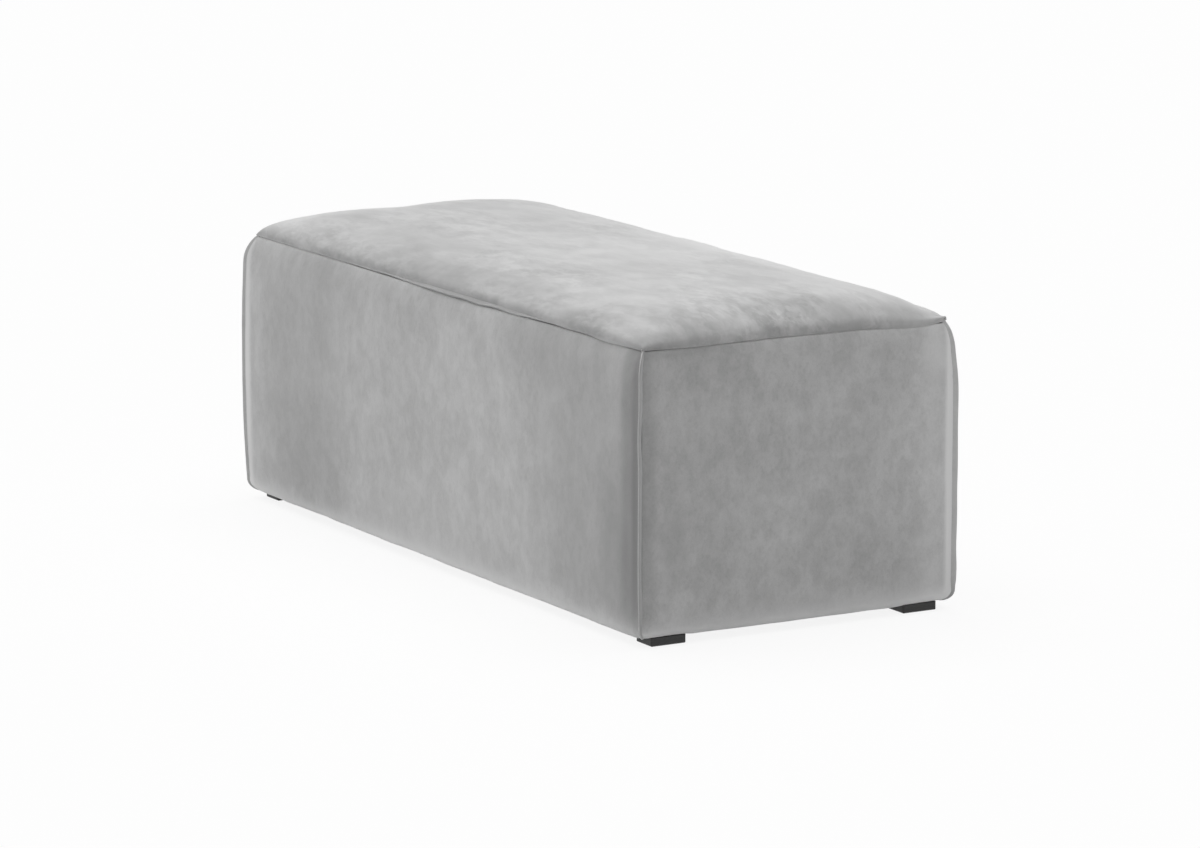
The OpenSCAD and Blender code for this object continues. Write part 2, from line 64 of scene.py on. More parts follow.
# The sides, how far each is turned, the corners at its low and its high end, and the
# signs of each corner's place
SIDES = ("front", "right", "back", "left")
SHORT_SIDES = ("left", "right")
SIDE_ANGLES = {"back": 0, "left": 90, "front": 180, "right": 270}
SIDE_ENDS = {
    "front": ("front_right", "front_left"),
    "right": ("back_right", "front_right"),
    "back": ("back_left", "back_right"),
    "left": ("front_left", "back_left"),
}
CORNERS = {"front_left": (-1, -1), "front_right": (1, -1), "back_left": (-1, 1), "back_right": (1, 1)}

# Sizes that the frame gives
FACE_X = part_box("cover_right")[1].x
FACE_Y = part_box("cover_back")[1].y
UNDER_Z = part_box("cover_front")[0].z
PANEL_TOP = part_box("seam_top")[0].z
RIM_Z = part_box("seam_top")[1].z
SEAM_T = RIM_Z - PANEL_TOP
SEAM_Z = (PANEL_TOP + RIM_Z) / 2
CROWN_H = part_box("cover_top")[1].z - RIM_Z

# Sizes of the cover that the construction also has
DRAW_IN = 13 * MM
SHOULDER_H = 40 * MM
EDGE_R = 16 * MM
HEM_W = 34 * MM
CROWN_RUN_X = 122 * MM
CROWN_RUN_Y = 185 * MM
CROWN_POWER = 2.27
FLUSH_SEAM_H = 38 * MM
CLOTH_T = 1.6 * MM
PADDING_T = 10 * MM
LINING_PITCH = 80 * MM
SEAM_X = FACE_X - DRAW_IN
SEAM_Y = FACE_Y - DRAW_IN
SHOULDER_R = (SHOULDER_H**2 + DRAW_IN**2) / (2 * DRAW_IN)
WALL_Z = SEAM_Z - SHOULDER_H

# Slack between soft pieces, how deep the top's cloth sits in its seam, and what the
# crown's rise adds to that cloth's flat size
SLACK = 0.4 * MM
SEAM_DROP = 0.4 * MM
# How deep a side's cloth is sewn in, how far in round the lower edge the pads start,
# and their least thickness
SEWN_IN = 0.3 * MM
PAD_STARTS = 0.6 * PADDING_T
LEAST_PAD_T = 0.2 * MM
# The edges and the upright corners of the foam and of the felt
FOAM_EDGE_R = 3 * MM
FOAM_CORNER_R = 12 * MM
FELT_EDGE_R = 0.8 * MM
FELT_CORNER_R = 8 * MM
# The grids' steps: the width beside a seam in which they grow, the first and the last
SIDE_SPACING = (60 * MM, 0.9 * MM, 7 * MM)
TOP_SPACING = (90 * MM, 0.8 * MM, 7 * MM)
LIP_SPACING = (40 * MM, 1.5 * MM, 6 * MM)

# How the cloth rolls in towards a corner seam and under the top seam
CORNER_ROLL_W = 21 * MM
TOP_ROLL_W = 8 * MM
TOP_ROLL_D = 2 * MM
GROOVE_CLOSES_H = 12 * MM
# How each corner sits: how far its seam bows out at half height, how far it is drawn
# in below the top seam, how deep the cloth rolls in beside it, how far the seam stands
# out, and the height over which it grows to that
CORNER_FORMS = {
    "front_left": (6.5 * MM, 0.0, 3.5 * MM, 1.3 * MM, 6 * MM),
    "front_right": (1 * MM, 1 * MM, 7 * MM, 4 * MM, 8 * MM),
    "back_left": (2 * MM, 2 * MM, 5 * MM, 3 * MM, 20 * MM),
    "back_right": (0.5 * MM, 3.2 * MM, 4 * MM, 2.2 * MM, 30 * MM),
}
# Where a corner is drawn in most, below the top seam, and over what heights
DRAWN_AT = 28 * MM
DRAWN_H = 36 * MM
DRAWN_STARTS_H = 12 * MM
# A corner seam's strip: how far it reaches in, half its thickness at its lip, how far
# its end goes in and up into the top seam, how unevenly it stands out and how far it
# sways, with the waves' lengths, and the painted shade and light of its flanks and its lip
FIN_ROOT = 9 * MM
FIN_LIP = 1.2 * MM
FIN_END = (1 * MM, 2.4 * MM)
FIN_UNEVEN = (0.08, 60 * MM)
FIN_SWAY = (0.4 * MM, 110 * MM)
FIN_FLANK_SHADE_LIGHT = {"front_left": 0.1, "front_right": -0.45, "back_left": 0.0, "back_right": 0.25}
FIN_LIP_LIGHT = 0.15

# How far the top's cloth bulges out over its seam, over what width, the radius and the
# angles of its tuck, and how uneven it is, as a share, with the waves' length
TOP_OVER = 3.1 * MM
TOP_OVER_W = 14 * MM
TUCK_R = 4.6 * MM
TUCK_ANGLES = (78, 60, 42, 26, 12)
TUCK_UNEVEN = (0.15, 130 * MM)
# How full that bulge is at the low and the high end of each side, as a share
OVER_SHARES = {"front": (1.05, 0.4), "right": (0.4, 0.9), "back": (0.8, 0.8), "left": (0.8, 0.8)}
# Where it hangs lower over a side: the middle and half width of each place, and how
# much lower, as a share
SAGS = {
    "front": ((490 * MM, 50 * MM, 0.45),),
    "right": ((-160 * MM, 50 * MM, 0.45), (200 * MM, 40 * MM, 0.8)),
    "back": ((-300 * MM, 50 * MM, 0.45),),
    "left": ((50 * MM, 50 * MM, 0.45),),
}
# Where it draws back from the lip of its seam: the middle and half width of that place,
# how bare the lip is, how far it stands out, how much it droops, and the painted shade and light on it
LIP_STRETCHES = {
    "front": (80 * MM, 200 * MM, 1.0, 4.2 * MM, 0.8, -0.6),
    "right": (0 * MM, 100 * MM, 0.0, 4 * MM, 0.32, 0.0),
    "back": (510 * MM, 60 * MM, 1.0, 6 * MM, -1.2, 0.7),
    "left": (0 * MM, 100 * MM, 0.4, 4 * MM, 0.32, 0.0),
}
# How much of the bulge is gone where the lip is quite bare, as a share
LIP_BARES = 0.85
# The lip's thickness, how far in it reaches and is held flat, its least width, how
# unevenly it stands out and droops, and the waves' length
LIP_T = 2.4 * MM
LIP_ROOT = 7 * MM
LIP_HELD = 2 * MM
LIP_LEAST = 0.3 * MM
LIP_UNEVEN = (0.15, 0.4)
LIP_WAVE = 110 * MM
# Where the top seam dips at the right end, in millimetres: the middle and half width of
# the dip along the side, its depth, and how far it is felt above, below and inwards
SEAM_DIP = (190, 65, 4.2, 16)
# How far the top's cloth stands up at its corners, over what reach
EAR_LIFT = (1 * MM, 5 * MM)
EAR_LIFTS = {"back_right": (5 * MM, 12 * MM)}
# How much lower the right end of the crown is than its middle, as a share
CROWN_LEAN = 0.07
# How much fuller the crown is near a corner, over what reach, and from how far in
CORNER_FULLNESS = {"front_left": 6 * MM, "front_right": 1 * MM, "back_left": 4 * MM, "back_right": -5 * MM}
FULLNESS_REACH = 55 * MM
FULLNESS_STARTS_W = 6 * MM
# Where the crown is fuller, in millimetres: the middle, the half sizes and the height
CROWN_PATCHES = (
    (-310, 200, 110, 45, 2.5),
    (180, 200, 90, 45, 1.5),
    (-533, -195, 60, 45, 2.5),
    (-530, -50, 60, 60, -1.8),
)
PATCHES_START_W = 12 * MM
# Small creases on a side, in millimetres: the two ends [along, height], the half width
# and the depth; and how far a crease is at full depth and fades, in shares of its length
CREASES = {
    "front": (((-569, 337), (-541, 318), 2.5, 1.0),),
    "right": (((-250, 332), (-236, 329), 2.0, 1.2),),
}
CREASE_FULL = 0.3
CREASE_FADE = 0.2

# How far the top seam and a corner seam hold a side's cloth flat, and any seam the top's
SIDE_HELD = (7 * MM, 9 * MM)
TOP_HELD = 14 * MM
# The waves in the cloth: their height, their length, how much they are drawn out
# [along, up], and how far they reach from the top seam and from the corners, or on the
# top from the long and from the short sides
EVERYWHERE = (math.inf, math.inf)
UNEVENNESS = {
    "side": (
        (0.7 * MM, 240 * MM, (1, 0.7), EVERYWHERE),
        (0.35 * MM, 70 * MM, (1, 0.4), EVERYWHERE),
        (0.45 * MM, 34 * MM, (1, 0.25), (28 * MM, math.inf)),
        (0.45 * MM, 36 * MM, (0.25, 1), (math.inf, 22 * MM)),
    ),
    "top": (
        (0.9 * MM, 200 * MM, (1, 1), EVERYWHERE),
        (0.3 * MM, 75 * MM, (1, 1), EVERYWHERE),
        (0.5 * MM, 38 * MM, (1, 0.3), (32 * MM, math.inf)),
        (0.5 * MM, 38 * MM, (0.3, 1), (math.inf, 32 * MM)),
    ),
}
# How far the cloth hangs full over the lower edge, where round it, and over what lengths
EDGE_FULL = 3.3 * MM
EDGE_FULL_ANGLE = 25
EDGE_FULL_W = (8 * MM, 14 * MM)
# How much of that a foot and a corner seam hold back, as shares
FOOT_HOLDS = 0.35
FOOT_HOLDS_W = 5 * MM
CORNER_HOLDS = 0.6
# How the padding swells under its cloth: the grid's step, the padding's firmness from 0
# to 1, how uneven that is, with the waves' length, and its least, how far in from its
# seams the cloth is cut larger, the steps in time, and the most that it may move
SETTLE_STEP = 8 * MM
PADDING_FIRMNESS = 0.2
PADDING_UNEVEN = (0.5, 120 * MM)
LEAST_FIRMNESS = 0.02
SEAM_EASE_W = 45 * MM
SETTLE_FRAMES = 20
SETTLE_MOST = 3 * MM
CLOTH_SETTINGS = {
    "quality": 5,
    "mass": 0.3,
    "bending_stiffness": 0.5,
    "vertex_group_mass": "held",
    "vertex_group_shrink": "eased",
    "shrink_min": 0,
    "shrink_max": -0.03,
    "use_pressure": True,
    "uniform_pressure_force": 4,
}
# The lining's folded border, how far it is held flat, its sag, and its puckers
LINING_BORDER_W = 26 * MM
LINING_HELD = 30 * MM
LINING_SAG = 2.2 * MM
PUCKER_AT = 32 * MM
PUCKER_D = 0.45 * MM

# Where the random draws of each kind of wave start
SEEDS = {"side": 1, "fin": 40, "sway": 50, "tuck": 60, "top": 71, "lip": 90, "lining": 120,
         "settling": 130, "settling_top": 140}

# How much painted light brightens the nap round the lower edge, and over what height
LOWER_EDGE_LIGHT = 0.9
LOWER_EDGE_H = 13 * MM
# The painted shade below the top seam, and the painted light close under it on short and long sides
SEAM_SHADE = 0.12
SEAM_SHADE_H = 30 * MM
SEAM_PAINTED_LIGHTS = (0.3, 0.06)
SEAM_PAINTED_LIGHT_H = 3 * MM
# How dark the painted shade is along the top's long and its short sides; and the painted dark
# band at the seam of the short ones: how dark, how far above the seam, and its half height
TOP_EDGE_SHADES = (0.3, 0.14)
TOP_EDGE_SHADE_W = 16 * MM
TOP_SHADE_BAND = (0.1, -0.5 * MM, 3 * MM)
# Patches of darker and lighter nap on each face, some of them painted shade and painted light: the strips
# beside the corner seams, the shade under the top seam and along the sides, and a painted sheen by the
# top's back edge. In millimetres: the middle of the patch [along, height], its two half sizes, and how
# dark or light it is
NAP_AND_LIGHTING_PATCHES = {
    "front": (
        (400, 200, 150, 320, -0.3),
        (-450, 200, 140, 320, -0.34),
        (-525, 130, 35, 110, -0.3),
        (-290, 380, 90, 60, -0.14),
        (30, 80, 220, 60, 0.14),
        (545, 255, 25, 90, 0.22),
        (-568, 190, 22, 410, -0.55),
        (-586, 180, 11, 410, -0.4),
        (587, 200, 11, 250, 0.85),
    ),
    "right": (
        (170, 210, 110, 320, -0.2),
        (-70, 230, 110, 320, -0.12),
        (-222, 210, 40, 330, 0.22),
        (-222, 375, 22, 50, 0.3),
        (-247, 215, 9, 230, 1.3),
        (0, 55, 320, 28, 0.13),
        (245, 200, 16, 420, -0.3),
        (205, 150, 18, 50, -0.22),
        (210, 404, 110, 9, -0.2),
    ),
    "back": ((250, 200, 200, 320, -0.25), (-540, 200, 40, 320, 0.2)),
    "left": ((-120, 200, 120, 320, -0.25), (225, 200, 30, 320, 0.2)),
    "top": (
        (-260, -170, 260, 90, -0.3),
        (-480, 60, 170, 220, -0.2),
        (60, 60, 200, 100, 0.3),
        (-310, 30, 60, 170, -0.16),
        (-290, -130, 90, 50, -0.1),
        (-545, -90, 60, 150, 0.8),
        (80, 200, 270, 60, 0.85),
        (20, -212, 120, 28, -0.36),
        (16, -75, 26, 26, 0.3),
        (48, -18, 26, 26, 0.3),
        (440, -145, 60, 40, 0.2),
        (572, -210, 15, 38, -0.42),
        (566, -25, 15, 40, 0.25),
        (215, -110, 90, 40, -0.1),
        (560, 60, 45, 170, -0.2),
    ),
}


def waves(x, y, seed, size, spread=0.35, count=26):
    """Smooth noise over a plane, about -1 to 1, made of sines of about one wavelength."""
    rng = np.random.default_rng(seed)
    total = np.zeros(np.broadcast(x, y).shape)
    for _ in range(count):
        angle, phase = rng.uniform(0, 2 * math.pi, 2)
        length = size * rng.uniform(1 - spread, 1 + spread)
        total += np.sin(2 * math.pi / length * (x * math.cos(angle) + y * math.sin(angle)) + phase)
    return total / math.sqrt(count) * 0.8


def spaced(end, first, last, grow=1.25):
    """Places from 0 to end whose steps grow from first to last."""
    places, step = [0.0], first
    while places[-1] < end:
        places.append(places[-1] + step)
        step = min(step * grow, last)
    places = np.array(places)
    return places / places[-1] * end


def fading(distance, reach):
    """1 at a seam, fading with the distance from it."""
    return np.exp(-distance / reach)


def growing(distance, reach):
    """0 at a seam, growing to 1 with the distance from it."""
    return 1 - fading(distance, reach)


def bell(off, width):
    """1 in the middle, fading to either side."""
    return np.exp(-((off / width) ** 2))


def squared_off(x, y, middle_x, middle_y, half_x, half_y):
    """The squared distance from the middle of a patch, in its own half sizes."""
    return ((x / MM - middle_x) / half_x) ** 2 + ((y / MM - middle_y) / half_y) ** 2


# Node trees


class Tree:
    """The node tree of a material or of the world, with short calls for its nodes."""

    def __init__(self, name, owner=None):
        self.owner = owner or bpy.data.materials.new(name)
        self.owner.use_nodes = True
        self.nodes = self.owner.node_tree.nodes
        self.links = self.owner.node_tree.links
        self.shader = self.nodes.get("Principled BSDF")
        self.place = self.nodes.new("ShaderNodeTexCoord").outputs["Object"]

    def feed(self, made, inputs):
        """Links each input to a socket or gives it a value, and skips None."""
        for key, value in dict(inputs).items():
            if isinstance(value, bpy.types.NodeSocket):
                self.links.new(value, made.inputs[key])
            elif value is not None:
                made.inputs[key].default_value = value
        return made

    def node(self, kind, inputs=(), **settings):
        made = self.nodes.new(kind)
        for key, value in settings.items():
            setattr(made, key, value)
        return self.feed(made, inputs)

    def stretched(self, scale):
        return self.node("ShaderNodeMapping", {"Vector": self.place, "Scale": scale}).outputs["Vector"]

    def split(self):
        return self.node("ShaderNodeSeparateXYZ", {0: self.place}).outputs

    def noise(self, place, size, detail=2.0, roughness=0.5, distortion=0.0):
        inputs = {"Vector": place, "Scale": 1 / size, "Detail": detail, "Roughness": roughness}
        inputs["Distortion"] = distortion
        return self.node("ShaderNodeTexNoise", inputs).outputs["Fac"]

    def math(self, operation, a, b=0.0):
        return self.node("ShaderNodeMath", {0: a, 1: b}, operation=operation).outputs[0]

    def mixed(self, *parts):
        """The sum of values, each times its share."""
        total, *others = [self.math("MULTIPLY", value, share) for value, share in parts]
        for other in others:
            total = self.math("ADD", total, other)
        return total

    def threads(self, place, pitch):
        """Fine waves along an axis, from -1 to 1."""
        return self.math("SINE", self.math("MULTIPLY", place, 2 * math.pi / pitch))

    def mapped(self, value, low, high, to_low=0.0, to_high=1.0):
        inputs = {"Value": value, "From Min": low, "From Max": high, "To Min": to_low, "To Max": to_high}
        return self.node("ShaderNodeMapRange", inputs, interpolation_type="SMOOTHSTEP").outputs["Result"]

    def blended(self, factor, a, b):
        return self.node("ShaderNodeMix", {0: factor, 6: a, 7: b}, data_type="RGBA").outputs[2]

    def bump(self, height, distance, strength=1.0, under=None):
        inputs = {"Height": height, "Distance": distance, "Strength": strength, "Normal": under}
        return self.node("ShaderNodeBump", inputs).outputs["Normal"]

    def attribute(self, name):
        return self.node("ShaderNodeAttribute", attribute_name=name).outputs["Fac"]

    def seen(self):
        """1 for what the camera sees, also in gloss and through glass, 0 for other light."""
        path = self.node("ShaderNodeLightPath")
        seen = path.outputs["Is Camera Ray"]
        for ray in ("Is Glossy Ray", "Is Transmission Ray"):
            seen = self.math("MAXIMUM", seen, path.outputs[ray])
        return seen

    def finish(self, color, normal, roughness, **sockets):
        self.feed(self.shader, {"Base Color": color, "Normal": normal, "Roughness": roughness})
        self.feed(self.shader, {key.replace("_", " "): value for key, value in sockets.items()})
        return self.owner

    def end(self, factor, shader, other, output):
        """Ends the tree in a mix of two shaders."""
        mix = self.node("ShaderNodeMixShader", {0: factor, 1: shader.outputs[0], 2: other.outputs[0]})
        self.feed(self.nodes[output], {"Surface": mix.outputs[0]})


def grey(level):
    return (level, level, level, 1)


# How dark the painted shade and darker nap make the velvet, and how light the painted light, painted sheen
# and paler nap, as shares of its own level
SHADE_AND_NAP_DARK = 0.45
LIGHT_AND_NAP_PALE = 1.6
# The marks in velvet, from broad to fine: the noise's size, detail, roughness and
# distortion, and the values between which it swings
VELVET_MARKS = {
    "broad": (260 * MM, 1.0, 0.5, 0.0, 0.38, 0.62),
    "patches": (60 * MM, 2.0, 0.5, 0.3, 0.38, 0.62),
    "blotches": (20 * MM, 2.0, 0.55, 0.2, 0.4, 0.62),
    "scuffs": (16 * MM, 3.0, 0.55, 1.2, 0.46, 0.56),
    "strokes": (4.8 * MM, 2.0, 0.6, 0.2, 0.32, 0.54),
    "pile": (2.1 * MM, 2.0, 0.6, 0.0, 0.3, 0.7),
}


def velvet(name, run, contrast, shares, level=0.53, even=1.0):
    """Brushed velvet: the marks, which run where run is small, a painted sheen, paler where it
    is seen edge on, and the painted shade and light and nap patches in its points' tone. Each
    mark has its share. Those from the blotches on are fainter in some places, down to even as a share."""
    t = Tree(name)
    along_nap = t.stretched(run)
    places = {"strokes": t.stretched([k * k for k in run]), "pile": t.place}
    marked = t.mapped(t.noise(along_nap, 110 * MM, 1.0), 0.36, 0.64, even, 1.0)
    marks = {}
    nap = 0.5 * (1 - sum(shares))
    for (kind, (*form, low, high)), share in zip(VELVET_MARKS.items(), shares):
        marks[kind] = t.noise(places.get(kind, along_nap), *form)
        swing = t.math("MULTIPLY", t.mapped(marks[kind], low, high, -0.5, 0.5), share)
        if kind not in ("broad", "patches"):
            swing = t.math("MULTIPLY", swing, marked)
        nap = t.math("ADD", nap, t.math("ADD", swing, 0.5 * share))
    color = t.blended(nap, grey(level * (1 - contrast)), grey(level * (1 + contrast)))
    # Painted shade and painted light, with the nap patches, from the tone of the piece's points
    color = t.blended(t.attribute("painted_shade_and_nap_dark"), color, grey(level * SHADE_AND_NAP_DARK))
    color = t.blended(t.attribute("painted_light_and_nap_pale"), color, grey(level * LIGHT_AND_NAP_PALE))
    # A painted sheen: the colour turns paler where the velvet is seen edge on
    facing = t.node("ShaderNodeLayerWeight", {"Blend": 0.5}).outputs["Facing"]
    rim = t.math("MULTIPLY", t.math("POWER", facing, 4.0), 0.8)
    color = t.blended(rim, color, grey(level * LIGHT_AND_NAP_PALE))
    normal = t.bump(marks["strokes"], 0.5 * MM, 0.3)
    normal = t.bump(marks["pile"], 0.4 * MM, 0.4, normal)
    rough = t.mapped(marks["patches"], 0.3, 0.7, 0.82, 0.94)
    return t.finish(color, normal, rough, Specular_IOR_Level=0.2, Sheen_Weight=0.4,
                    Sheen_Roughness=0.35, Sheen_Tint=grey(0.95))


def moulded_plastic(name):
    """Dark moulded plastic with a spark-eroded grain and scuffs."""
    t = Tree(name)
    grain = t.noise(t.place, 0.7 * MM, 3.0, 0.7)
    scuffs = t.noise(t.stretched((1, 1, 6)), 6 * MM, 4.0, 0.6)
    color = t.blended(t.mapped(scuffs, 0.35, 0.75), grey(0.024), grey(0.045))
    return t.finish(color, t.bump(grain, 0.12 * MM, 0.6), t.mapped(scuffs, 0.3, 0.7, 0.42, 0.6),
                    Specular_IOR_Level=0.45)


def steel(name):
    """Zinc-plated steel wire and screws."""
    t = Tree(name)
    tone = t.noise(t.place, 2 * MM, 3.0, 0.6)
    color = t.blended(tone, grey(0.5), grey(0.68))
    return t.finish(color, t.bump(t.noise(t.place, 0.4 * MM), 0.05 * MM, 0.5),
                    t.mapped(tone, 0.3, 0.7, 0.28, 0.45), Metallic=1.0)


def wood(name, light, dark, axis, ring=6 * MM):
    """Sawn softwood: rings stretched along the grain, pores and a rough-sawn face."""
    t = Tree(name)
    scale = [1.0, 1.0, 1.0]
    scale[axis] = 0.06
    along = t.stretched(tuple(scale))
    bend = t.noise(along, 50 * MM, 2.0, 0.5, 0.6)
    heart = (17 * MM, 23 * MM, 11 * MM)
    place = t.node("ShaderNodeVectorMath", {0: along, 1: heart}, operation="ADD").outputs[0]
    inputs = {"Vector": place, "Scale": 1 / (ring * 6), "Distortion": 5.0, "Detail": 3.0}
    inputs["Detail Scale"] = 1.4
    rings = t.node("ShaderNodeTexWave", inputs, wave_type="RINGS").outputs["Fac"]
    pores = t.noise(along, 1.2 * MM, 2.0, 0.6)
    tone = t.mixed((rings, 0.5), (bend, 0.3), (pores, 0.2))
    normal = t.bump(tone, 0.3 * MM, 0.5)
    return t.finish(t.blended(tone, light, dark), normal, t.mapped(pores, 0.3, 0.7, 0.6, 0.8))


def plywood(name):
    """Birch plywood, with its plies across the thickness."""
    t = Tree(name)
    ply = t.math("PINGPONG", t.split()["Z"], 1.8 * MM)
    grain = t.noise(t.stretched((0.1, 1, 1)), 4 * MM, 3.0, 0.6)
    tone = t.mixed((t.mapped(ply, 0.4 * MM, 1.4 * MM), 0.5), (grain, 0.5))
    color = t.blended(tone, (0.72, 0.5, 0.28, 1), (0.42, 0.25, 0.12, 1))
    return t.finish(color, t.bump(grain, 0.2 * MM, 0.5), 0.7)


def hardboard(name):
    """Pressed brown fibre board."""
    t = Tree(name)
    fibres = t.noise(t.place, 4 * MM, 5.0, 0.7, 1.5)
    specks = t.noise(t.place, 1.5 * MM)
    tone = t.mixed((fibres, 0.6), (specks, 0.4))
    color = t.blended(t.mapped(tone, 0.3, 0.7), (0.13, 0.07, 0.035, 1), (0.26, 0.15, 0.08, 1))
    return t.finish(color, t.bump(fibres, 0.2 * MM, 0.5), t.mapped(specks, 0.3, 0.7, 0.5, 0.7))


def webbing(name, along, across):
    """Elastic webbing: ribs across the strap and threads along it."""
    t = Tree(name)
    axes = t.split()
    twill = t.math("MULTIPLY", t.threads(axes[along], 2.4 * MM), t.threads(axes[across], 1.6 * MM))
    fuzz = t.noise(t.place, 1.2 * MM, 3.0, 0.7)
    tone = t.mixed((t.mapped(twill, -1, 1), 0.55), (fuzz, 0.45))
    color = t.blended(tone, (0.2, 0.13, 0.07, 1), (0.47, 0.34, 0.2, 1))
    return t.finish(color, t.bump(tone, 0.4 * MM, 0.7), 0.85)


def felt(name):
    """Needled felt of mixed grey fibres."""
    t = Tree(name)
    fibres = t.noise(t.place, 3 * MM, 6.0, 0.75, 2.5)
    flecks = t.noise(t.place, 12 * MM, 4.0, 0.7, 1.0)
    color = t.blended(t.mapped(flecks, 0.35, 0.65), (0.2, 0.21, 0.25, 1), (0.38, 0.38, 0.4, 1))
    return t.finish(color, t.bump(fibres, 0.8 * MM, 0.6), 0.95, Sheen_Weight=0.3)


def foam(name):
    """Cut polyether foam with its open cells."""
    t = Tree(name)
    inputs = {"Vector": t.place, "Scale": 1 / (1.8 * MM)}
    cells = t.node("ShaderNodeTexVoronoi", inputs).outputs["Distance"]
    tone = t.noise(t.place, 50 * MM, 3.0, 0.6)
    color = t.blended(tone, (0.72, 0.6, 0.32, 1), (0.86, 0.78, 0.5, 1))
    return t.finish(color, t.bump(cells, 0.6 * MM, 0.7), 0.9)


def fibre(name):
    """White polyester wadding."""
    t = Tree(name)
    strands = t.noise(t.place, 6 * MM, 8.0, 0.75, 3.0)
    clumps = t.noise(t.place, 40 * MM, 3.0, 0.6)
    color = t.blended(clumps, grey(0.7), grey(0.86))
    return t.finish(color, t.bump(strands, 1.5 * MM, 0.6), 0.95, Sheen_Weight=0.4)


def lining_cloth(name):
    """Black spun-bonded lining with its pressed dots."""
    t = Tree(name)
    axes = t.split()
    dots = t.math("MULTIPLY", t.threads(axes["X"], 2.1 * MM), t.threads(axes["Y"], 2.1 * MM))
    dots = t.mapped(dots, 0.2, 0.7)
    fibres = t.noise(t.place, 4 * MM, 6.0, 0.7, 1.5)
    color = t.blended(fibres, grey(0.012), grey(0.035))
    normal = t.bump(fibres, 0.3 * MM, 0.5, t.bump(dots, -0.25 * MM, 0.6))
    return t.finish(color, normal, t.mapped(dots, 0, 1, 0.8, 0.5))


PINE_LIGHT, PINE_DARK = (0.78, 0.56, 0.31, 1), (0.5, 0.3, 0.13, 1)
BEECH_LIGHT, BEECH_DARK = (0.62, 0.4, 0.24, 1), (0.48, 0.28, 0.15, 1)
# How much each of the velvet's marks tells on the top, the long sides, the short sides
# and the seams
TOP_SHARES = (0.17, 0.28, 0.28, 0.15, 0.06, 0.06)
SIDE_SHARES = (0.22, 0.24, 0.2, 0.04, 0.15, 0.15)
END_SHARES = (0.2, 0.22, 0.2, 0.06, 0.16, 0.16)
SEAM_SHARES = (0.1, 0.2, 0.2, 0.1, 0.2, 0.2)
FINISHES = {
    "pine_x": wood("pine_along_x", PINE_LIGHT, PINE_DARK, 0),
    "pine_y": wood("pine_along_y", PINE_LIGHT, PINE_DARK, 1),
    "pine_z": wood("pine_upright", PINE_LIGHT, PINE_DARK, 2),
    "beech": wood("beech", BEECH_LIGHT, BEECH_DARK, 0, 3 * MM),
    "plywood": plywood("birch_plywood"),
    "hardboard": hardboard("hardboard"),
    "webbing_x": webbing("webbing_along_x", "X", "Y"),
    "webbing_y": webbing("webbing_along_y", "Y", "X"),
    "felt": felt("felt"),
    "foam": foam("foam"),
    "fibre": fibre("fibre"),
    "velvet_top": velvet("velvet_top", (0.5, 1, 1), 0.4, TOP_SHARES, even=0.35),
    "velvet_side": velvet("velvet_side", (1, 1, 0.75), 0.19, SIDE_SHARES),
    # The short sides' and the seams' velvet is set a little darker than the rest: painted shade
    "velvet_end": velvet("velvet_end", (1, 1, 0.85), 0.22, END_SHARES, level=0.515),
    "velvet_seam": velvet("velvet_seam", (1, 1, 1), 0.1, SEAM_SHARES, level=0.5),
    "lining": lining_cloth("lining_cloth"),
    "steel": steel("zinc_plated_steel"),
    "foot_plastic": moulded_plastic("moulded_plastic"),
}

# The CAD nodes that have each finish, by the start of their names: the first fit counts
NODE_FINISHES = {
    "pine_x": ("base_rail_front", "base_rail_back", "top_rail_front", "top_rail_back"),
    "pine_y": ("base_rail_", "top_rail_", "cross_rail_", "spreader"),
    "pine_z": ("post_", "stud_"),
    "plywood": ("gusset_",),
    "beech": ("dowels",),
    "hardboard": ("side_board_",),
    "webbing_x": ("webbing_long_",),
    "webbing_y": ("webbing_cross_",),
    "steel": ("webbing_staples", "lining_staples", "foot_screws"),
    "foot_plastic": ("foot_",),
}

# Pieces


def linked(name, data):
    """A new object in the scene."""
    obj = bpy.data.objects.new(name, data)
    scene.collection.objects.link(obj)
    return obj


def dipped(points):
    """Lowers the soft pieces round the dip in the top seam."""
    middle, width, depth, felt_over = SEAM_DIP
    x, y, z = points.T / MM
    off = ((y - middle) / width) ** 2
    off += ((x - SEAM_X / MM) ** 2 + (z - SEAM_Z / MM) ** 2) / felt_over**2
    return np.column_stack([points[:, :2], points[:, 2] - depth * MM * np.exp(-off)])


def add_piece(name, points, faces, finish, slot, *nodes):
    """A closed mesh that rides on the body and stands for CAD nodes."""
    mesh = bpy.data.meshes.new(name)
    mesh.from_pydata(dipped(np.asarray(points).reshape(-1, 3)).tolist(), [], faces)
    work = bmesh.new()
    work.from_mesh(mesh)
    bmesh.ops.recalc_face_normals(work, faces=work.faces)
    work.to_mesh(mesh)
    work.free()
    mesh.shade_smooth()
    mesh.materials.append(FINISHES[finish])
    obj = linked(name, mesh)
    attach(obj, "root")
    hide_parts(*nodes)
    return obj


def grid_faces(rows, cols, start=0, loop=False):
    """Quads between the points of a grid. With loop, the last column joins the first."""
    faces = []
    for r in range(rows - 1):
        for c in range(cols if loop else cols - 1):
            right = (c + 1) % cols
            a, b = start + r * cols + c, start + r * cols + right
            faces.append((a, b, b + cols, a + cols))
    return faces


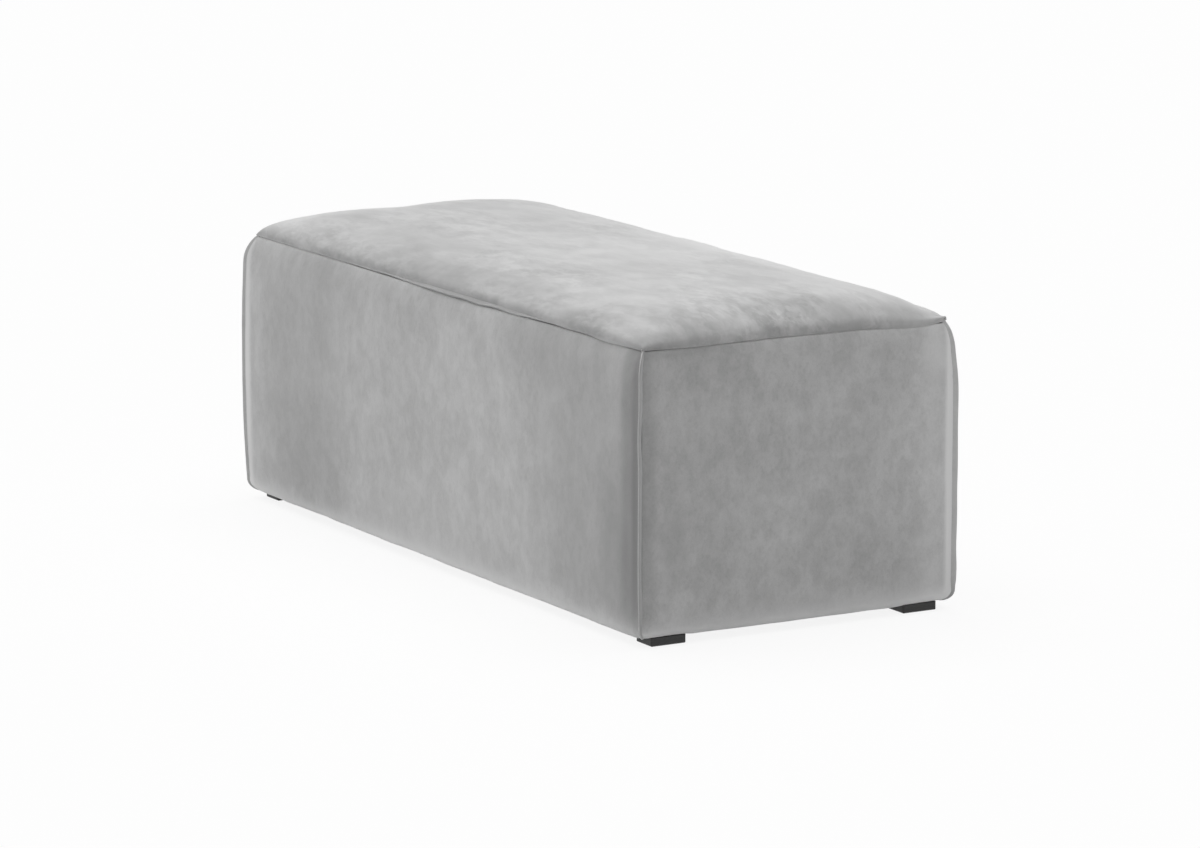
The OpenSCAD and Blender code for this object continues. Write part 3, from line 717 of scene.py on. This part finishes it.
def between(name, outer, inner, finish, slot, *nodes):
    """A closed piece between two grids of points."""
    rows, cols = outer.shape[:2]
    count = rows * cols
    faces = grid_faces(rows, cols) + grid_faces(rows, cols, count)
    at = np.arange(count).reshape(rows, cols)
    rim = np.concatenate([at[0], at[1:, -1], at[-1, -2::-1], at[-2:0:-1, 0]]).tolist()
    for a, b in zip(rim, rim[1:] + rim[:1]):
        faces.append((a, b, b + count, a + count))
    points = np.concatenate([outer.reshape(-1, 3), inner.reshape(-1, 3)])
    return add_piece(name, points, faces, finish, slot, *nodes)


def paint_tone(obj, tone):
    """Gives a piece's points their tone: painted shade and darker nap below 0, painted light and paler nap
    above it.
    """
    for name, values in (("painted_shade_and_nap_dark", -tone), ("painted_light_and_nap_pale", tone)):
        values = np.clip(values, 0, 1).astype(np.float32).ravel()
        attribute = obj.data.attributes.new(name, "FLOAT", "POINT")
        attribute.data.foreach_set("value", np.tile(values, len(obj.data.vertices) // len(values)))


def inward(points, distance):
    """A grid of points moved along its normals, into the object."""
    down, across = np.gradient(points, axis=(0, 1))
    normals = np.cross(across, down)
    normals /= np.linalg.norm(normals, axis=-1, keepdims=True)
    return points - distance * normals


def settled(name, points, edge, seed):
    """How far the points of a coarse copy of a face move when it swells: the edge is
    held, the padding holds the rest less, and the cloth is slack at its seams."""
    rows, cols = edge.shape
    mesh = bpy.data.meshes.new(name)
    mesh.from_pydata(points.reshape(-1, 3).tolist(), [], grid_faces(rows, cols))
    obj = linked(name, mesh)
    place = np.meshgrid(np.arange(cols) * SETTLE_STEP, np.arange(rows) * SETTLE_STEP)
    firm = PADDING_FIRMNESS * (1 + PADDING_UNEVEN[0] * waves(*place, seed, PADDING_UNEVEN[1]))
    firm = np.where(edge < SETTLE_STEP / 2, 1, np.clip(firm, LEAST_FIRMNESS, 1))
    for group, values in (("held", firm), ("eased", bell(edge, SEAM_EASE_W))):
        made = obj.vertex_groups.new(name=group)
        for index, value in enumerate(values.ravel()):
            made.add([index], float(value), "REPLACE")
    cloth = obj.modifiers.new("cloth", "CLOTH")
    for key, value in CLOTH_SETTINGS.items():
        setattr(cloth.settings, key, value)
    cloth.settings.effector_weights.gravity = 0
    cloth.point_cache.frame_start = 1
    cloth.point_cache.frame_end = SETTLE_FRAMES
    for step in range(1, SETTLE_FRAMES + 1):
        scene.frame_set(step)
    swollen = obj.evaluated_get(bpy.context.evaluated_depsgraph_get())
    places = np.empty(points.size, np.float32)
    swollen.data.vertices.foreach_get("co", places)
    bpy.data.objects.remove(obj)
    bpy.data.meshes.remove(mesh)
    scene.frame_set(1)
    return places.reshape(points.shape) - points


def steps_between(low, high):
    return np.linspace(low, high, int((high - low) / SETTLE_STEP) + 1)


def capped(moved):
    return SETTLE_MOST * np.tanh(moved / SETTLE_MOST)


def settled_side(side):
    """How far a side swells: places along it, lengths up its section, and the amount."""
    run, face = run_and_face(side)
    rows = side_profile()
    along = steps_between(EDGE_R - run, run - EDGE_R)
    lengths = steps_between(rows[5, 4], rows[-1, 4])[::-1]
    depth, z, in_d, in_z = (np.interp(lengths, rows[:, 4], rows[:, k])[:, None] for k in range(4))
    x = np.broadcast_to(along, (len(lengths), len(along)))
    points = np.stack([x, face - depth + 0 * x, z + 0 * x], -1)
    up = lengths[:, None]
    edge = np.minimum(np.minimum(x - along[0], along[-1] - x), np.minimum(up[0] - up, up - up[-1]))
    moved = settled(f"settling_{side}", points, edge, SEEDS["settling"] + SIDES.index(side))
    return along, lengths[::-1], capped(moved[..., 1] * in_d - moved[..., 2] * in_z)[::-1]


def settled_top():
    """How far the top swells, in the same form: places along X and along Y."""
    lines = [steps_between(-seam, seam) for seam in (SEAM_X, SEAM_Y)]
    x, y = np.meshgrid(*lines)
    edge = np.minimum(*to_seams(x, y))
    points = np.stack([x, y, crown(x, y)], -1)
    moved = settled("settling_top", points, edge, SEEDS["settling_top"])
    return lines[0], lines[1], capped(moved[..., 2])


def looked_up(field, x, y):
    """The values of a field between its grid lines."""
    xs, ys, values = field
    at = np.clip(np.interp(x, xs, np.arange(len(xs))), 0, len(xs) - 1.001)
    up = np.clip(np.interp(y, ys, np.arange(len(ys))), 0, len(ys) - 1.001)
    c, r = at.astype(int), up.astype(int)
    u, v = at - c, up - r
    low = values[r, c] * (1 - u) + values[r, c + 1] * u
    high = values[r + 1, c] * (1 - u) + values[r + 1, c + 1] * u
    return low * (1 - v) + high * v


def side_profile():
    """The section of a side, from the hem up: the depth in from the fullest face, the
    height, the inward normal's two parts, and the length so far."""
    hem = [(d, UNDER_Z, 0.0, 1.0) for d in np.linspace(HEM_W, EDGE_R, 5)]
    bend = [
        (EDGE_R - EDGE_R * math.sin(a), UNDER_Z + EDGE_R - EDGE_R * math.cos(a), math.sin(a), math.cos(a))
        for a in np.radians(np.arange(11.25, 91, 11.25))
    ]
    wall = [(0.0, z, 1.0, 0.0) for z in np.linspace(UNDER_Z + EDGE_R, WALL_Z, 62)[1:]]
    top_angle = math.asin((PANEL_TOP - WALL_Z) / SHOULDER_R)
    arc = [
        (SHOULDER_R * (1 - math.cos(a)), WALL_Z + SHOULDER_R * math.sin(a), math.cos(a), -math.sin(a))
        for a in np.linspace(0, top_angle, 16)[1:]
    ]
    rows = np.array(hem + bend + wall + arc)
    lengths = np.cumsum(np.hypot(*np.diff(rows[:, :2], axis=0, prepend=rows[:1, :2]).T))
    return np.column_stack([rows, lengths])


def roll(distance, width, depth):
    """How far the cloth has rolled in at a distance from a seam."""
    share = 1 - np.clip(distance / width, 0, 1)
    return depth * (1 - np.sqrt(np.maximum(1 - share**2, 0)))


def corner_end(in_d, inset, half_gap, roll_depth):
    """How far from the neighbouring face the cloth meets the corner seam's flank."""
    places = np.linspace(0, CORNER_ROLL_W, 800)
    clear = places - (roll(places, CORNER_ROLL_W, roll_depth) + inset) * in_d
    return places[np.argmax(clear >= math.sqrt(2) * half_gap)]


def clear_of_floor(z):
    """0 at the underside, growing to 1 at the height up to which corner seams lie flush."""
    return float(np.clip((z - UNDER_Z) / (FLUSH_SEAM_H - UNDER_Z), 0, 1))


def groove_share(z):
    """How deep the groove beside a corner seam is at a height: it closes at both ends."""
    return growing(max(PANEL_TOP - z, 0), GROOVE_CLOSES_H) * clear_of_floor(z)


def crease(along, height, start, end, width, depth):
    """A soft groove along the line between two places on a side, in millimetres."""
    a, b = np.array(start) * MM, np.array(end) * MM
    line = b - a
    share = ((along - a[0]) * line[0] + (height - a[1]) * line[1]) / (line @ line)
    off = np.hypot(along - a[0] - share * line[0], height - a[1] - share * line[1])
    fade = bell(np.clip(np.abs(share - 0.5) - CREASE_FULL, 0, None), CREASE_FADE)
    return -depth * MM * fade * bell(off, width * MM)


def corner_shift(corner, height):
    """How far out both faces stand at a corner: bowed, and drawn in near the top."""
    bowed, drawn = CORNER_FORMS[corner][:2]
    below = max(PANEL_TOP - height, 0)
    share = float(np.clip((height - UNDER_Z) / (PANEL_TOP - UNDER_Z), 0, 1))
    draw = bell(below - DRAWN_AT, DRAWN_H) * growing(below, DRAWN_STARTS_H)
    return bowed * math.sin(math.pi * share) ** 0.5 - drawn * draw


def uneven(kind, seed, along, up, to_first, to_second):
    """How far the waves of one kind of face stand out, some only near its seams."""
    relief = 0.0
    for height, length, drawn, reach in UNEVENNESS[kind]:
        wave = height * waves(along * drawn[0], up * drawn[1], seed, length)
        relief = relief + wave * fading(to_first, reach[0]) * fading(to_second, reach[1])
        seed += 1
    return relief


def side_relief(side, along, height, length, to_corner):
    """How far the cloth of a side stands out from its plain form."""
    to_top = np.maximum(PANEL_TOP - height, 0)
    held_by_top, held_by_corner = SIDE_HELD
    free = growing(to_corner, held_by_corner) * growing(to_top, held_by_top)
    seed = SEEDS["side"] + 10 * SIDES.index(side)
    relief = uneven("side", seed, along, height, to_top, to_corner) * free
    relief += looked_up(SETTLED[side], along, np.full(along.shape, length))
    relief += lower_edge(side, along, length) * (1 - CORNER_HOLDS * fading(to_corner, held_by_corner))
    for form in CREASES.get(side, ()):
        relief += crease(along, height, *form)
    return relief


def edge_full(length):
    """How far the cloth hangs full over the lower edge, at a length up the section."""
    off = length - (HEM_W - EDGE_R + EDGE_R * math.radians(EDGE_FULL_ANGLE))
    return EDGE_FULL * bell(off, EDGE_FULL_W[0 if off < 0 else 1])


def lower_edge(side, along, length):
    """The fullness of the lower edge, which a foot under it holds up a little."""
    over_foot = 0.0
    if side in SHORT_SIDES:
        low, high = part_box("foot_front_right")
        middle, half = abs(low.y + high.y) / 2, (high.y - low.y) / 2
        over_foot = bell(np.maximum(np.abs(np.abs(along) - middle) - half, 0), FOOT_HOLDS_W)
    return edge_full(length) * (1 - FOOT_HOLDS * over_foot)


def run_and_face(side):
    """Half the length of a side, and how far out it is."""
    return (FACE_Y, FACE_X) if side in SHORT_SIDES else (FACE_X, FACE_Y)


def to_world(side, points):
    """Turns points of a side [along, out, up] to where the side faces."""
    turn = math.radians(SIDE_ANGLES[side])
    x = points[..., 0] * math.cos(turn) - points[..., 1] * math.sin(turn)
    y = points[..., 0] * math.sin(turn) + points[..., 1] * math.cos(turn)
    return np.stack([x, y, points[..., 2]], -1)


def side_grid(side, inset, half_gap, rows):
    """The surface of a side, set in by inset. Gives its points [along, out, up] and
    their distances below the top seam."""
    run, face = run_and_face(side)
    edge = spaced(*SIDE_SPACING)
    middle_count = int(2 * (run - SIDE_SPACING[0]) / SIDE_SPACING[2])
    points, to_top = [], []
    for depth, z, in_d, in_z, length in rows:
        low_bow, high_bow = (corner_shift(corner, z) for corner in SIDE_ENDS[side])
        rolls = [CORNER_FORMS[corner][2] * groove_share(z) for corner in SIDE_ENDS[side]]
        low_end, high_end = (corner_end(in_d, inset, half_gap, deep) for deep in rolls)
        low = depth - run - low_bow + low_end + edge * (1 - low_end / edge[-1])
        high = run + high_bow - depth - high_end - edge[::-1] * (1 - high_end / edge[-1])
        middle = np.linspace(low[-1], high[0], middle_count + 1)[1:-1]
        along = np.concatenate([low, middle, high])
        share = np.clip((along + run) / (2 * run), 0, 1)
        share = share**2 * (3 - 2 * share)
        bowed = low_bow + (high_bow - low_bow) * share
        corner = np.minimum(along + run + low_bow, run + high_bow - along) - depth
        end = np.where(along < 0, low_end, high_end)
        roll_depth = np.where(along < 0, *rolls)
        above = np.full(along.shape, max(PANEL_TOP - z, 0))
        drawn = inset + roll(corner, CORNER_ROLL_W, roll_depth)
        drawn = drawn + roll(above, TOP_ROLL_W, TOP_ROLL_D * over_share(side, along))
        drawn = drawn - side_relief(side, along, z, length, corner - end)
        points.append(np.stack([along, face + bowed - depth - drawn * in_d, z + drawn * in_z], -1))
        to_top.append(above)
    return np.array(points), np.array(to_top)


def nap_and_lighting_tone(face, along, height):
    """The tone that the patch table leaves on a face, nap patches and painted shade and light, from dark
    below 0 to light above it.
    """
    tone = np.zeros(np.broadcast(along, height).shape)
    for *patch, amount in NAP_AND_LIGHTING_PATCHES[face]:
        off = squared_off(along, height, *patch)
        tone += amount * np.exp(-off * np.sqrt(off))
    return tone


def shade_side(side, obj, points, to_top):
    """Gives a side its nap patches and painted shade and light: painted light at its lower edge, and
    painted shade and light under its top seam.
    """
    height = points[..., 2]
    tone = nap_and_lighting_tone(side, points[..., 0], height)
    tone += LOWER_EDGE_LIGHT * fading(np.maximum(height - UNDER_Z - EDGE_R / 2, 0), LOWER_EDGE_H)
    tone -= SEAM_SHADE * fading(to_top, SEAM_SHADE_H)
    tone += SEAM_PAINTED_LIGHTS[0 if side in SHORT_SIDES else 1] * fading(to_top, SEAM_PAINTED_LIGHT_H)
    paint_tone(obj, tone)


def side_panel(side):
    """The cloth of one side, from the hem under the frame up to the top seam."""
    rows = side_profile()
    half_gap = SEAM_T / 2 - SEWN_IN
    outer, to_top = side_grid(side, 0, half_gap, rows)
    inner, _ = side_grid(side, CLOTH_T, half_gap, rows)
    finish = "velvet_end" if side in SHORT_SIDES else "velvet_side"
    obj = between(f"cover_{side}_panel", to_world(side, outer), to_world(side, inner),
                  finish, "velvet", f"cover_{side}")
    shade_side(side, obj, outer, to_top)


def wadding(side):
    """The soft pad behind the cloth of one side, against the board."""
    rows = side_profile()
    rows = rows[(rows[:, 0] < PAD_STARTS) | (rows[:, 1] > WALL_Z)]
    half_gap = SEAM_T / 2 + SLACK
    outer, _ = side_grid(side, CLOTH_T + SLACK, half_gap, rows)
    run, face = run_and_face(side)
    corner = run - np.abs(outer[..., 0])
    inner = outer.copy()
    wall = rows[:, None, 1] <= WALL_Z
    back = PADDING_T - SLACK
    depth = np.where(wall, back, rows[:, None, 0] + back * rows[:, None, 2])
    depth = np.minimum(depth, corner - math.sqrt(2) * half_gap)
    inner[..., 1] = face - np.maximum(depth, face - outer[..., 1] + LEAST_PAD_T)
    inner[..., 2] = np.where(wall, outer[..., 2], rows[:, None, 1] + back * rows[:, None, 3])
    obj = between(f"side_wadding_{side}_pad", to_world(side, outer), to_world(side, inner),
                  "fibre", "fibre", f"side_wadding_{side}")


def swell(distance, run):
    """The crown's rise from 0 at a seam to 1 at a distance of run, as a superellipse."""
    share = np.clip(distance / run, 0, 1)
    return (1 - (1 - share) ** CROWN_POWER) ** (1 / CROWN_POWER)


def to_seams(x, y):
    """Distances from the top's short seams and from its long ones."""
    return SEAM_X - np.abs(x), SEAM_Y - np.abs(y)


def crown(x, y):
    """Height of the crowned top above the top seam."""
    to_x, to_y = to_seams(x, y)
    height = CROWN_H * (1 - CROWN_LEAN * np.maximum(x, 0) / SEAM_X)
    height = height * swell(to_x, CROWN_RUN_X) * swell(to_y, CROWN_RUN_Y)
    edge = np.maximum(np.minimum(to_x, to_y), 0)
    for *patch, fuller in CROWN_PATCHES:
        fuller_here = fuller * MM * np.exp(-squared_off(x, y, *patch))
        height = height + fuller_here * growing(edge, PATCHES_START_W)
    near = np.exp(-(to_x**2 + to_y**2) / FULLNESS_REACH**2) * growing(edge, FULLNESS_STARTS_W)
    for corner, (sign_x, sign_y) in CORNERS.items():
        height = height + CORNER_FULLNESS[corner] * near * (x * sign_x > 0) * (y * sign_y > 0)
    return height


def top_relief(x, y):
    """How far the cloth of the top stands out from the even crown."""
    to_x, to_y = to_seams(x, y)
    free = growing(to_x, TOP_HELD) * growing(to_y, TOP_HELD)
    return uneven("top", SEEDS["top"], x, y, to_y, to_x) * free + looked_up(SETTLED["top"], x, y)


def along_of(side, place):
    """A place in the frame's own direction, along a side in the side's direction."""
    return -place if side in ("front", "right") else place


def over_share(side, along):
    """How full the top's bulge over its seam is along a side, as a share."""
    low, high = OVER_SHARES[side]
    run = run_and_face(side)[0]
    share = np.clip((along + run) / (2 * run), 0, 1)
    return low + (high - low) * share


def over_seam(side, place):
    """How far the top's cloth bulges over its seam, and how full it tucks, as a share."""
    middle, width, bared = LIP_STRETCHES[side][:3]
    uneven_by, wave = TUCK_UNEVEN
    sagging = sum(more * bell(place - at, half) for at, half, more in SAGS[side])
    stretch = bared * bell(place - middle, width)
    waved = 1 + uneven_by * waves(place, 0.0, SEEDS["tuck"] + SIDES.index(side), wave)
    full = (1 - LIP_BARES * stretch + sagging) * waved
    return TOP_OVER * full * over_share(side, along_of(side, place)), full


def top_lines(seam):
    """Places across the top from seam to seam, close together at the seams."""
    edge = spaced(*TOP_SPACING)
    middle_count = int(2 * (seam - edge[-1]) / TOP_SPACING[2])
    middle = np.linspace(edge[-1] - seam, seam - edge[-1], middle_count)
    return np.concatenate([edge - seam, middle[1:-1], (seam - edge)[::-1]])


def tucked(place, seam, turn, over_high, over_low):
    """How far the top's cloth moves out over the seams at the two ends of an axis, and
    how far it drops where it has turned under by an angle."""
    reach, full = (np.where(place > 0, high, low) for high, low in zip(over_high, over_low))
    out = reach * fading(seam - np.abs(place), TOP_OVER_W)
    out = out - TUCK_R * reach / TOP_OVER * (1 - np.cos(turn))
    return np.sign(place) * out, TUCK_R * full * np.sin(turn)


def top_grid(tucks):
    """The surface of the crowned top. Each tuck angle adds a row of points all round,
    which brings the cloth back under its bulge."""
    angles = np.radians(tucks)
    count = len(angles)
    lines, turned = [], []
    for seam in (SEAM_X, SEAM_Y):
        line = top_lines(seam)
        lines.append(np.concatenate([[-seam] * count, line, [seam] * count]))
        turned.append(np.concatenate([angles, np.zeros(len(line)), angles[::-1]]))
    x, y = np.meshgrid(*lines)
    turn_x, turn_y = np.meshgrid(*turned)
    z = RIM_Z - SEAM_DROP + crown(x, y) + top_relief(x, y)
    out_x, drop_x = tucked(x, SEAM_X, turn_x, over_seam("right", y), over_seam("left", y))
    out_y, drop_y = tucked(y, SEAM_Y, turn_y, over_seam("back", x), over_seam("front", x))
    z = z - np.maximum(drop_x, drop_y)
    for corner, (sign_x, sign_y) in CORNERS.items():
        lift, reach = EAR_LIFTS.get(corner, EAR_LIFT)
        z = z + lift * fading(np.hypot(SEAM_X - x * sign_x, SEAM_Y - y * sign_y), reach)
    return np.stack([x + out_x, y + out_y, z], -1), x, y


def top_panel():
    """The crowned cloth of the top, which bulges out over its seam."""
    outer, x, y = top_grid(TUCK_ANGLES)
    obj = between("cover_top_panel", outer, inward(outer, CLOTH_T), "velvet_top", "velvet", "cover_top")
    to_x, to_y = to_seams(x, y)
    on_long = to_y < to_x
    band_shade, middle, half = TOP_SHADE_BAND
    # Painted shade along the top's edges and a painted dark band at its short seams
    dark = np.where(on_long, *TOP_EDGE_SHADES) * fading(np.minimum(to_x, to_y), TOP_EDGE_SHADE_W)
    dark = dark + np.where(on_long, 0, band_shade * bell(outer[..., 2] - SEAM_Z - middle, half))
    paint_tone(obj, nap_and_lighting_tone("top", x, y) - dark)


def crown_pad():
    """The soft fibre between the foam and the crowned cloth."""
    cloth, _, _ = top_grid(())
    over = inward(cloth, CLOTH_T + SLACK)
    over[..., 2] = np.maximum(over[..., 2], RIM_Z + SLACK)
    under = over.copy()
    under[..., 2] = RIM_Z
    obj = between("crown_fibre_pad", over, under, "fibre", "fibre", "crown_fibre")


def sweep(name, rings, finish, slot, *nodes, closed=False):
    """A solid through a row of equal rings of points, closed by caps or in a loop."""
    rings = np.asarray(rings)
    rows, cols = rings.shape[:2]
    faces = grid_faces(rows, cols, loop=True)
    if closed:
        last = (rows - 1) * cols
        faces += [(last + c, last + (c + 1) % cols, (c + 1) % cols, c) for c in range(cols)]
    else:
        faces += [tuple(range(cols)), tuple(range((rows - 1) * cols, rows * cols))[::-1]]
    return add_piece(name, rings, faces, finish, slot, *nodes)


def strip_section(out):
    """A corner seam's section: [distance out, distance sideways] of a strip that thins
    from half its root to half its round lip."""
    turns = np.radians(np.arange(0, 181, 22.5))
    round_lip = [(out - FIN_LIP + FIN_LIP * math.sin(a), FIN_LIP * math.cos(a)) for a in turns]
    flat = [-FIN_ROOT, -FIN_ROOT / 2, 0.0]
    return [(f, SEAM_T / 2) for f in flat] + round_lip + [(f, -SEAM_T / 2) for f in flat[::-1]]


def corner_seam(corner):
    """The raised seam on a corner's diagonal, which fades out at both its ends."""
    sign_x, sign_y = CORNERS[corner]
    index = list(CORNERS).index(corner)
    stands_out, growth = CORNER_FORMS[corner][3:]
    profile = [tuple(row) for row in side_profile()]
    depth, z, in_d, in_z, length = profile[-1]
    profile.append((depth + FIN_END[0], z + FIN_END[1], in_d, in_z, length))
    (uneven_by, wave), (sway_by, sway_wave) = FIN_UNEVEN, FIN_SWAY
    rings, tone = [], []
    for depth, z, in_d, in_z, length in profile:
        at_foot = clear_of_floor(z) ** 2
        grown = at_foot * growing(max(PANEL_TOP - z, 0), growth)
        out = stands_out * grown * (1 + uneven_by * waves(z, 0, SEEDS["fin"] + index, wave))
        sway = sway_by * waves(z, 0, SEEDS["sway"] + index, sway_wave) * grown
        ring = []
        for outward, sideways in strip_section(max(out, FIN_LIP)):
            outward += edge_full(length) * (1 - CORNER_HOLDS)
            d = depth - outward * in_d - corner_shift(corner, z)
            x = sign_x * (FACE_X - d - (sideways + sway) / math.sqrt(2))
            y = sign_y * (FACE_Y - d + (sideways + sway) / math.sqrt(2))
            ring.append((x, y, z - outward * in_z))
            # Painted shade and light on the flanks, fading at the foot, and a painted highlight on the lip
            flank = abs(sideways) > FIN_LIP / 2
            tone.append(FIN_FLANK_SHADE_LIGHT[corner] * at_foot if flank else FIN_LIP_LIGHT)
        rings.append(ring)
    obj = sweep(f"seam_{corner}_fin", rings, "velvet_seam", "velvet_seam", f"seam_{corner}")
    paint_tone(obj, np.array(tone))


def lip_section(out, droop):
    """The top seam's section [distance out, distance up], drooping to a thin round lip."""
    half, root = LIP_T / 2, SEAM_T / 2 - SEAM_DROP
    free = max(out, 0)
    held = [-LIP_ROOT, -LIP_ROOT / 2, -LIP_HELD]
    places = np.array(held + [(out + LIP_HELD) * k - LIP_HELD for k in (0.25, 0.5, 0.75, 1.0)])
    share = np.maximum(places, 0) / max(free, MM)
    sag = -droop * free * share**1.5
    above = sag + root - (root - half) * share
    below = sag - half
    turns = np.radians([30, 60, 90, 120, 150])
    tip = [(places[-1] + half * math.sin(a), sag[-1] + half * math.cos(a)) for a in turns]
    return list(zip(places, above)) + tip + list(zip(places, below))[::-1]


def top_seam():
    """The raised seam round the top. Its lip shows where the top's cloth draws back."""
    rings, tone = [], []
    to_end = spaced(*LIP_SPACING)
    end_w, _, step = LIP_SPACING
    for side in SIDES:
        run, face = (SEAM_Y, SEAM_X) if side in SHORT_SIDES else (SEAM_X, SEAM_Y)
        middle, width, bared, stands_out, droop, shade = LIP_STRETCHES[side]
        middle_places = np.linspace(run - end_w, end_w - run, int(run / (step / 2)))
        places = np.concatenate([run - to_end, middle_places[1:-1], (to_end - run)[::-1][:-1]])
        for u in places:
            wobbles = waves(u, np.array([0, 2.0]), SEEDS["lip"] + SIDES.index(side), LIP_WAVE)
            uneven_out, uneven_droop = 1 + np.array(LIP_UNEVEN) * wobbles
            stretch = bared * bell(along_of(side, u) - middle, width)
            ring = []
            out = LIP_LEAST + stands_out * stretch * uneven_out
            for outward, up in lip_section(out, droop * uneven_droop):
                ring.append((u + outward if u == run else u, face + outward, SEAM_Z + up))
            rings.append(to_world(side, np.array(ring)))
            # Painted shade and light on the bared lip
            tone += [shade * stretch] * len(ring)
    obj = sweep("seam_top_lip", rings, "velvet_seam", "velvet_seam", "seam_top", closed=True)
    paint_tone(obj, np.array(tone))


def stacked(name, centre, half_x, half_y, levels, corner_r, finish, slot, *nodes):
    """A block of rounded oblongs, each at its height and set in by its own inset."""
    turns = np.radians(np.arange(0, 90.1, 15))
    rings = []
    for height, inset in levels:
        ring = []
        for sign_x, sign_y, start in ((1, 1, 0), (-1, 1, 90), (-1, -1, 180), (1, -1, 270)):
            for a in turns + math.radians(start):
                x = sign_x * (half_x - inset - corner_r) + corner_r * math.cos(a)
                y = sign_y * (half_y - inset - corner_r) + corner_r * math.sin(a)
                ring.append((centre.x + x, centre.y + y, height))
        rings.append(ring)
    return sweep(name, rings, finish, slot, *nodes)


def rounded_levels(low, high, edge_r):
    """Heights and insets of a block with rounded edges."""
    turns = np.radians(np.arange(0, 90.1, 18))
    rise = [(edge_r * (1 - math.cos(a)), edge_r * (1 - math.sin(a))) for a in turns]
    return [(low + up, inset) for up, inset in rise] + [(high - up, inset) for up, inset in rise[::-1]]


def seat_foam():
    """The foam block, cut to the drawn-in shoulder of the cover."""
    low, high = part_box("seat_foam")
    back = PADDING_T + SLACK
    levels = rounded_levels(low.z, WALL_Z, FOAM_EDGE_R)[:6]
    for height in np.linspace(WALL_Z, high.z - LEAST_PAD_T, 14):
        arc = math.sqrt((SHOULDER_R - back) ** 2 - (height - WALL_Z) ** 2)
        levels.append((height, SHOULDER_R - back - arc))
    obj = stacked("seat_foam_block", (low + high) / 2, FACE_X - back, FACE_Y - back, levels,
                  FOAM_CORNER_R, "foam", "foam", "seat_foam")


def felt_pad():
    """The felt between the webbing and the foam."""
    low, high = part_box("felt_insulator")
    half = (high - low) / 2
    obj = stacked("felt_pad", (low + high) / 2, half.x - SLACK, half.y - SLACK,
                  rounded_levels(low.z, high.z, FELT_EDGE_R), FELT_CORNER_R,
                  "felt", "felt", "felt_insulator")


def lining():
    """The lining under the frame, with puckers between its staples and a folded border."""
    low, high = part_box("lining")
    half_x, half_y = (high.x - low.x) / 2, (high.y - low.y) / 2
    x, y = np.meshgrid(np.linspace(-half_x, half_x, 241), np.linspace(-half_y, half_y, 105))
    edge = np.minimum(half_x - np.abs(x), half_y - np.abs(y))
    border = 1 / (1 + np.exp((edge - LINING_BORDER_W) / (0.8 * MM)))
    free = 1 - bell(np.maximum(edge - LINING_HELD, 0), 60 * MM)
    sag = -LINING_SAG * free + 0.5 * MM * waves(x, y, SEEDS["lining"], 90 * MM) * free
    pucker = PUCKER_D * (bell(edge - PUCKER_AT, 12 * MM) * (1 - border))
    sag += pucker * (np.cos(2 * math.pi * x / LINING_PITCH) + np.cos(2 * math.pi * y / LINING_PITCH)) / 2
    under = np.stack([x, y, low.z + 0.25 * MM * (1 - border) + sag], -1)
    over = np.stack([x, y, np.full(x.shape, high.z - 0.1 * MM) + sag], -1)
    obj = between("lining_cloth", under, over, "lining", "lining", "lining")


def dress_nodes():
    """Gives each CAD node that stays its finish."""
    for name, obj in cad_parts.items():
        finish = next((key for key, starts in NODE_FINISHES.items() if name.startswith(starts)), None)
        if finish:
            obj.data.materials.clear()
            obj.data.materials.append(FINISHES[finish])


# Studio


def camera():
    """The camera at the photograph's place."""
    data = bpy.data.cameras.new("camera")
    data.lens = CAMERA_LENS
    data.sensor_width = 36
    scene.camera = linked("camera", data)
    scene.camera.location = CAMERA_AT
    scene.camera.rotation_euler = (math.radians(CAMERA_TILT), 0, math.radians(CAMERA_TURN))


def wide_lamp(name, towards, spread, strength):
    """A soft lamp, as wide as a window in the sky, in the direction towards it."""
    data = bpy.data.lights.new(name, "SUN")
    data.angle = math.radians(spread)
    data.energy = strength
    linked(name, data).rotation_euler = Vector(towards).to_track_quat("Z", "Y").to_euler()


def surround():
    """A surround that looks white and gives a little light."""
    scene.world = bpy.data.worlds.new("surround")
    t = Tree("surround", scene.world)
    shade = t.feed(t.nodes["Background"], {"Color": grey(1.0), "Strength": SURROUND_LIGHT})
    white = t.node("ShaderNodeBackground", {"Color": grey(1.0), "Strength": 1.0})
    t.end(t.seen(), shade, white, "World Output")


def floor():
    """A pale floor that looks nearly white, but for the object's shadow."""
    mesh = bpy.data.meshes.new("floor")
    corners = [(x * FLOOR_REACH, y * FLOOR_REACH, 0) for x, y in ((-1, -1), (1, -1), (1, 1), (-1, 1))]
    mesh.from_pydata(corners, [], [(0, 1, 2, 3)])
    obj = linked("floor", mesh)
    obj.location.z = -FLOOR_DROP
    t = Tree("floor")
    mesh.materials.append(t.finish(grey(0.92), None, 0.9, Specular_IOR_Level=0.0))
    white = t.node("ShaderNodeEmission", {"Color": grey(1.0), "Strength": 1.0})
    t.end(t.math("MULTIPLY", t.seen(), FLOOR_WHITE), t.shader, white, "Material Output")


def studio():
    """A pale floor, a white surround, soft lamps and the camera."""
    camera()
    for name, lamp in LAMPS.items():
        wide_lamp(name, *lamp)
    surround()
    floor()


scene.view_settings.view_transform = "Standard"
studio()
dress_nodes()
# How far each face swells under its cloth
SETTLED = {side: settled_side(side) for side in SIDES}
SETTLED["top"] = settled_top()
top_panel()
for side in SIDES:
    side_panel(side)
for corner in CORNERS:
    corner_seam(corner)
top_seam()
crown_pad()
for side in SIDES:
    wadding(side)
seat_foam()
felt_pad()
lining()
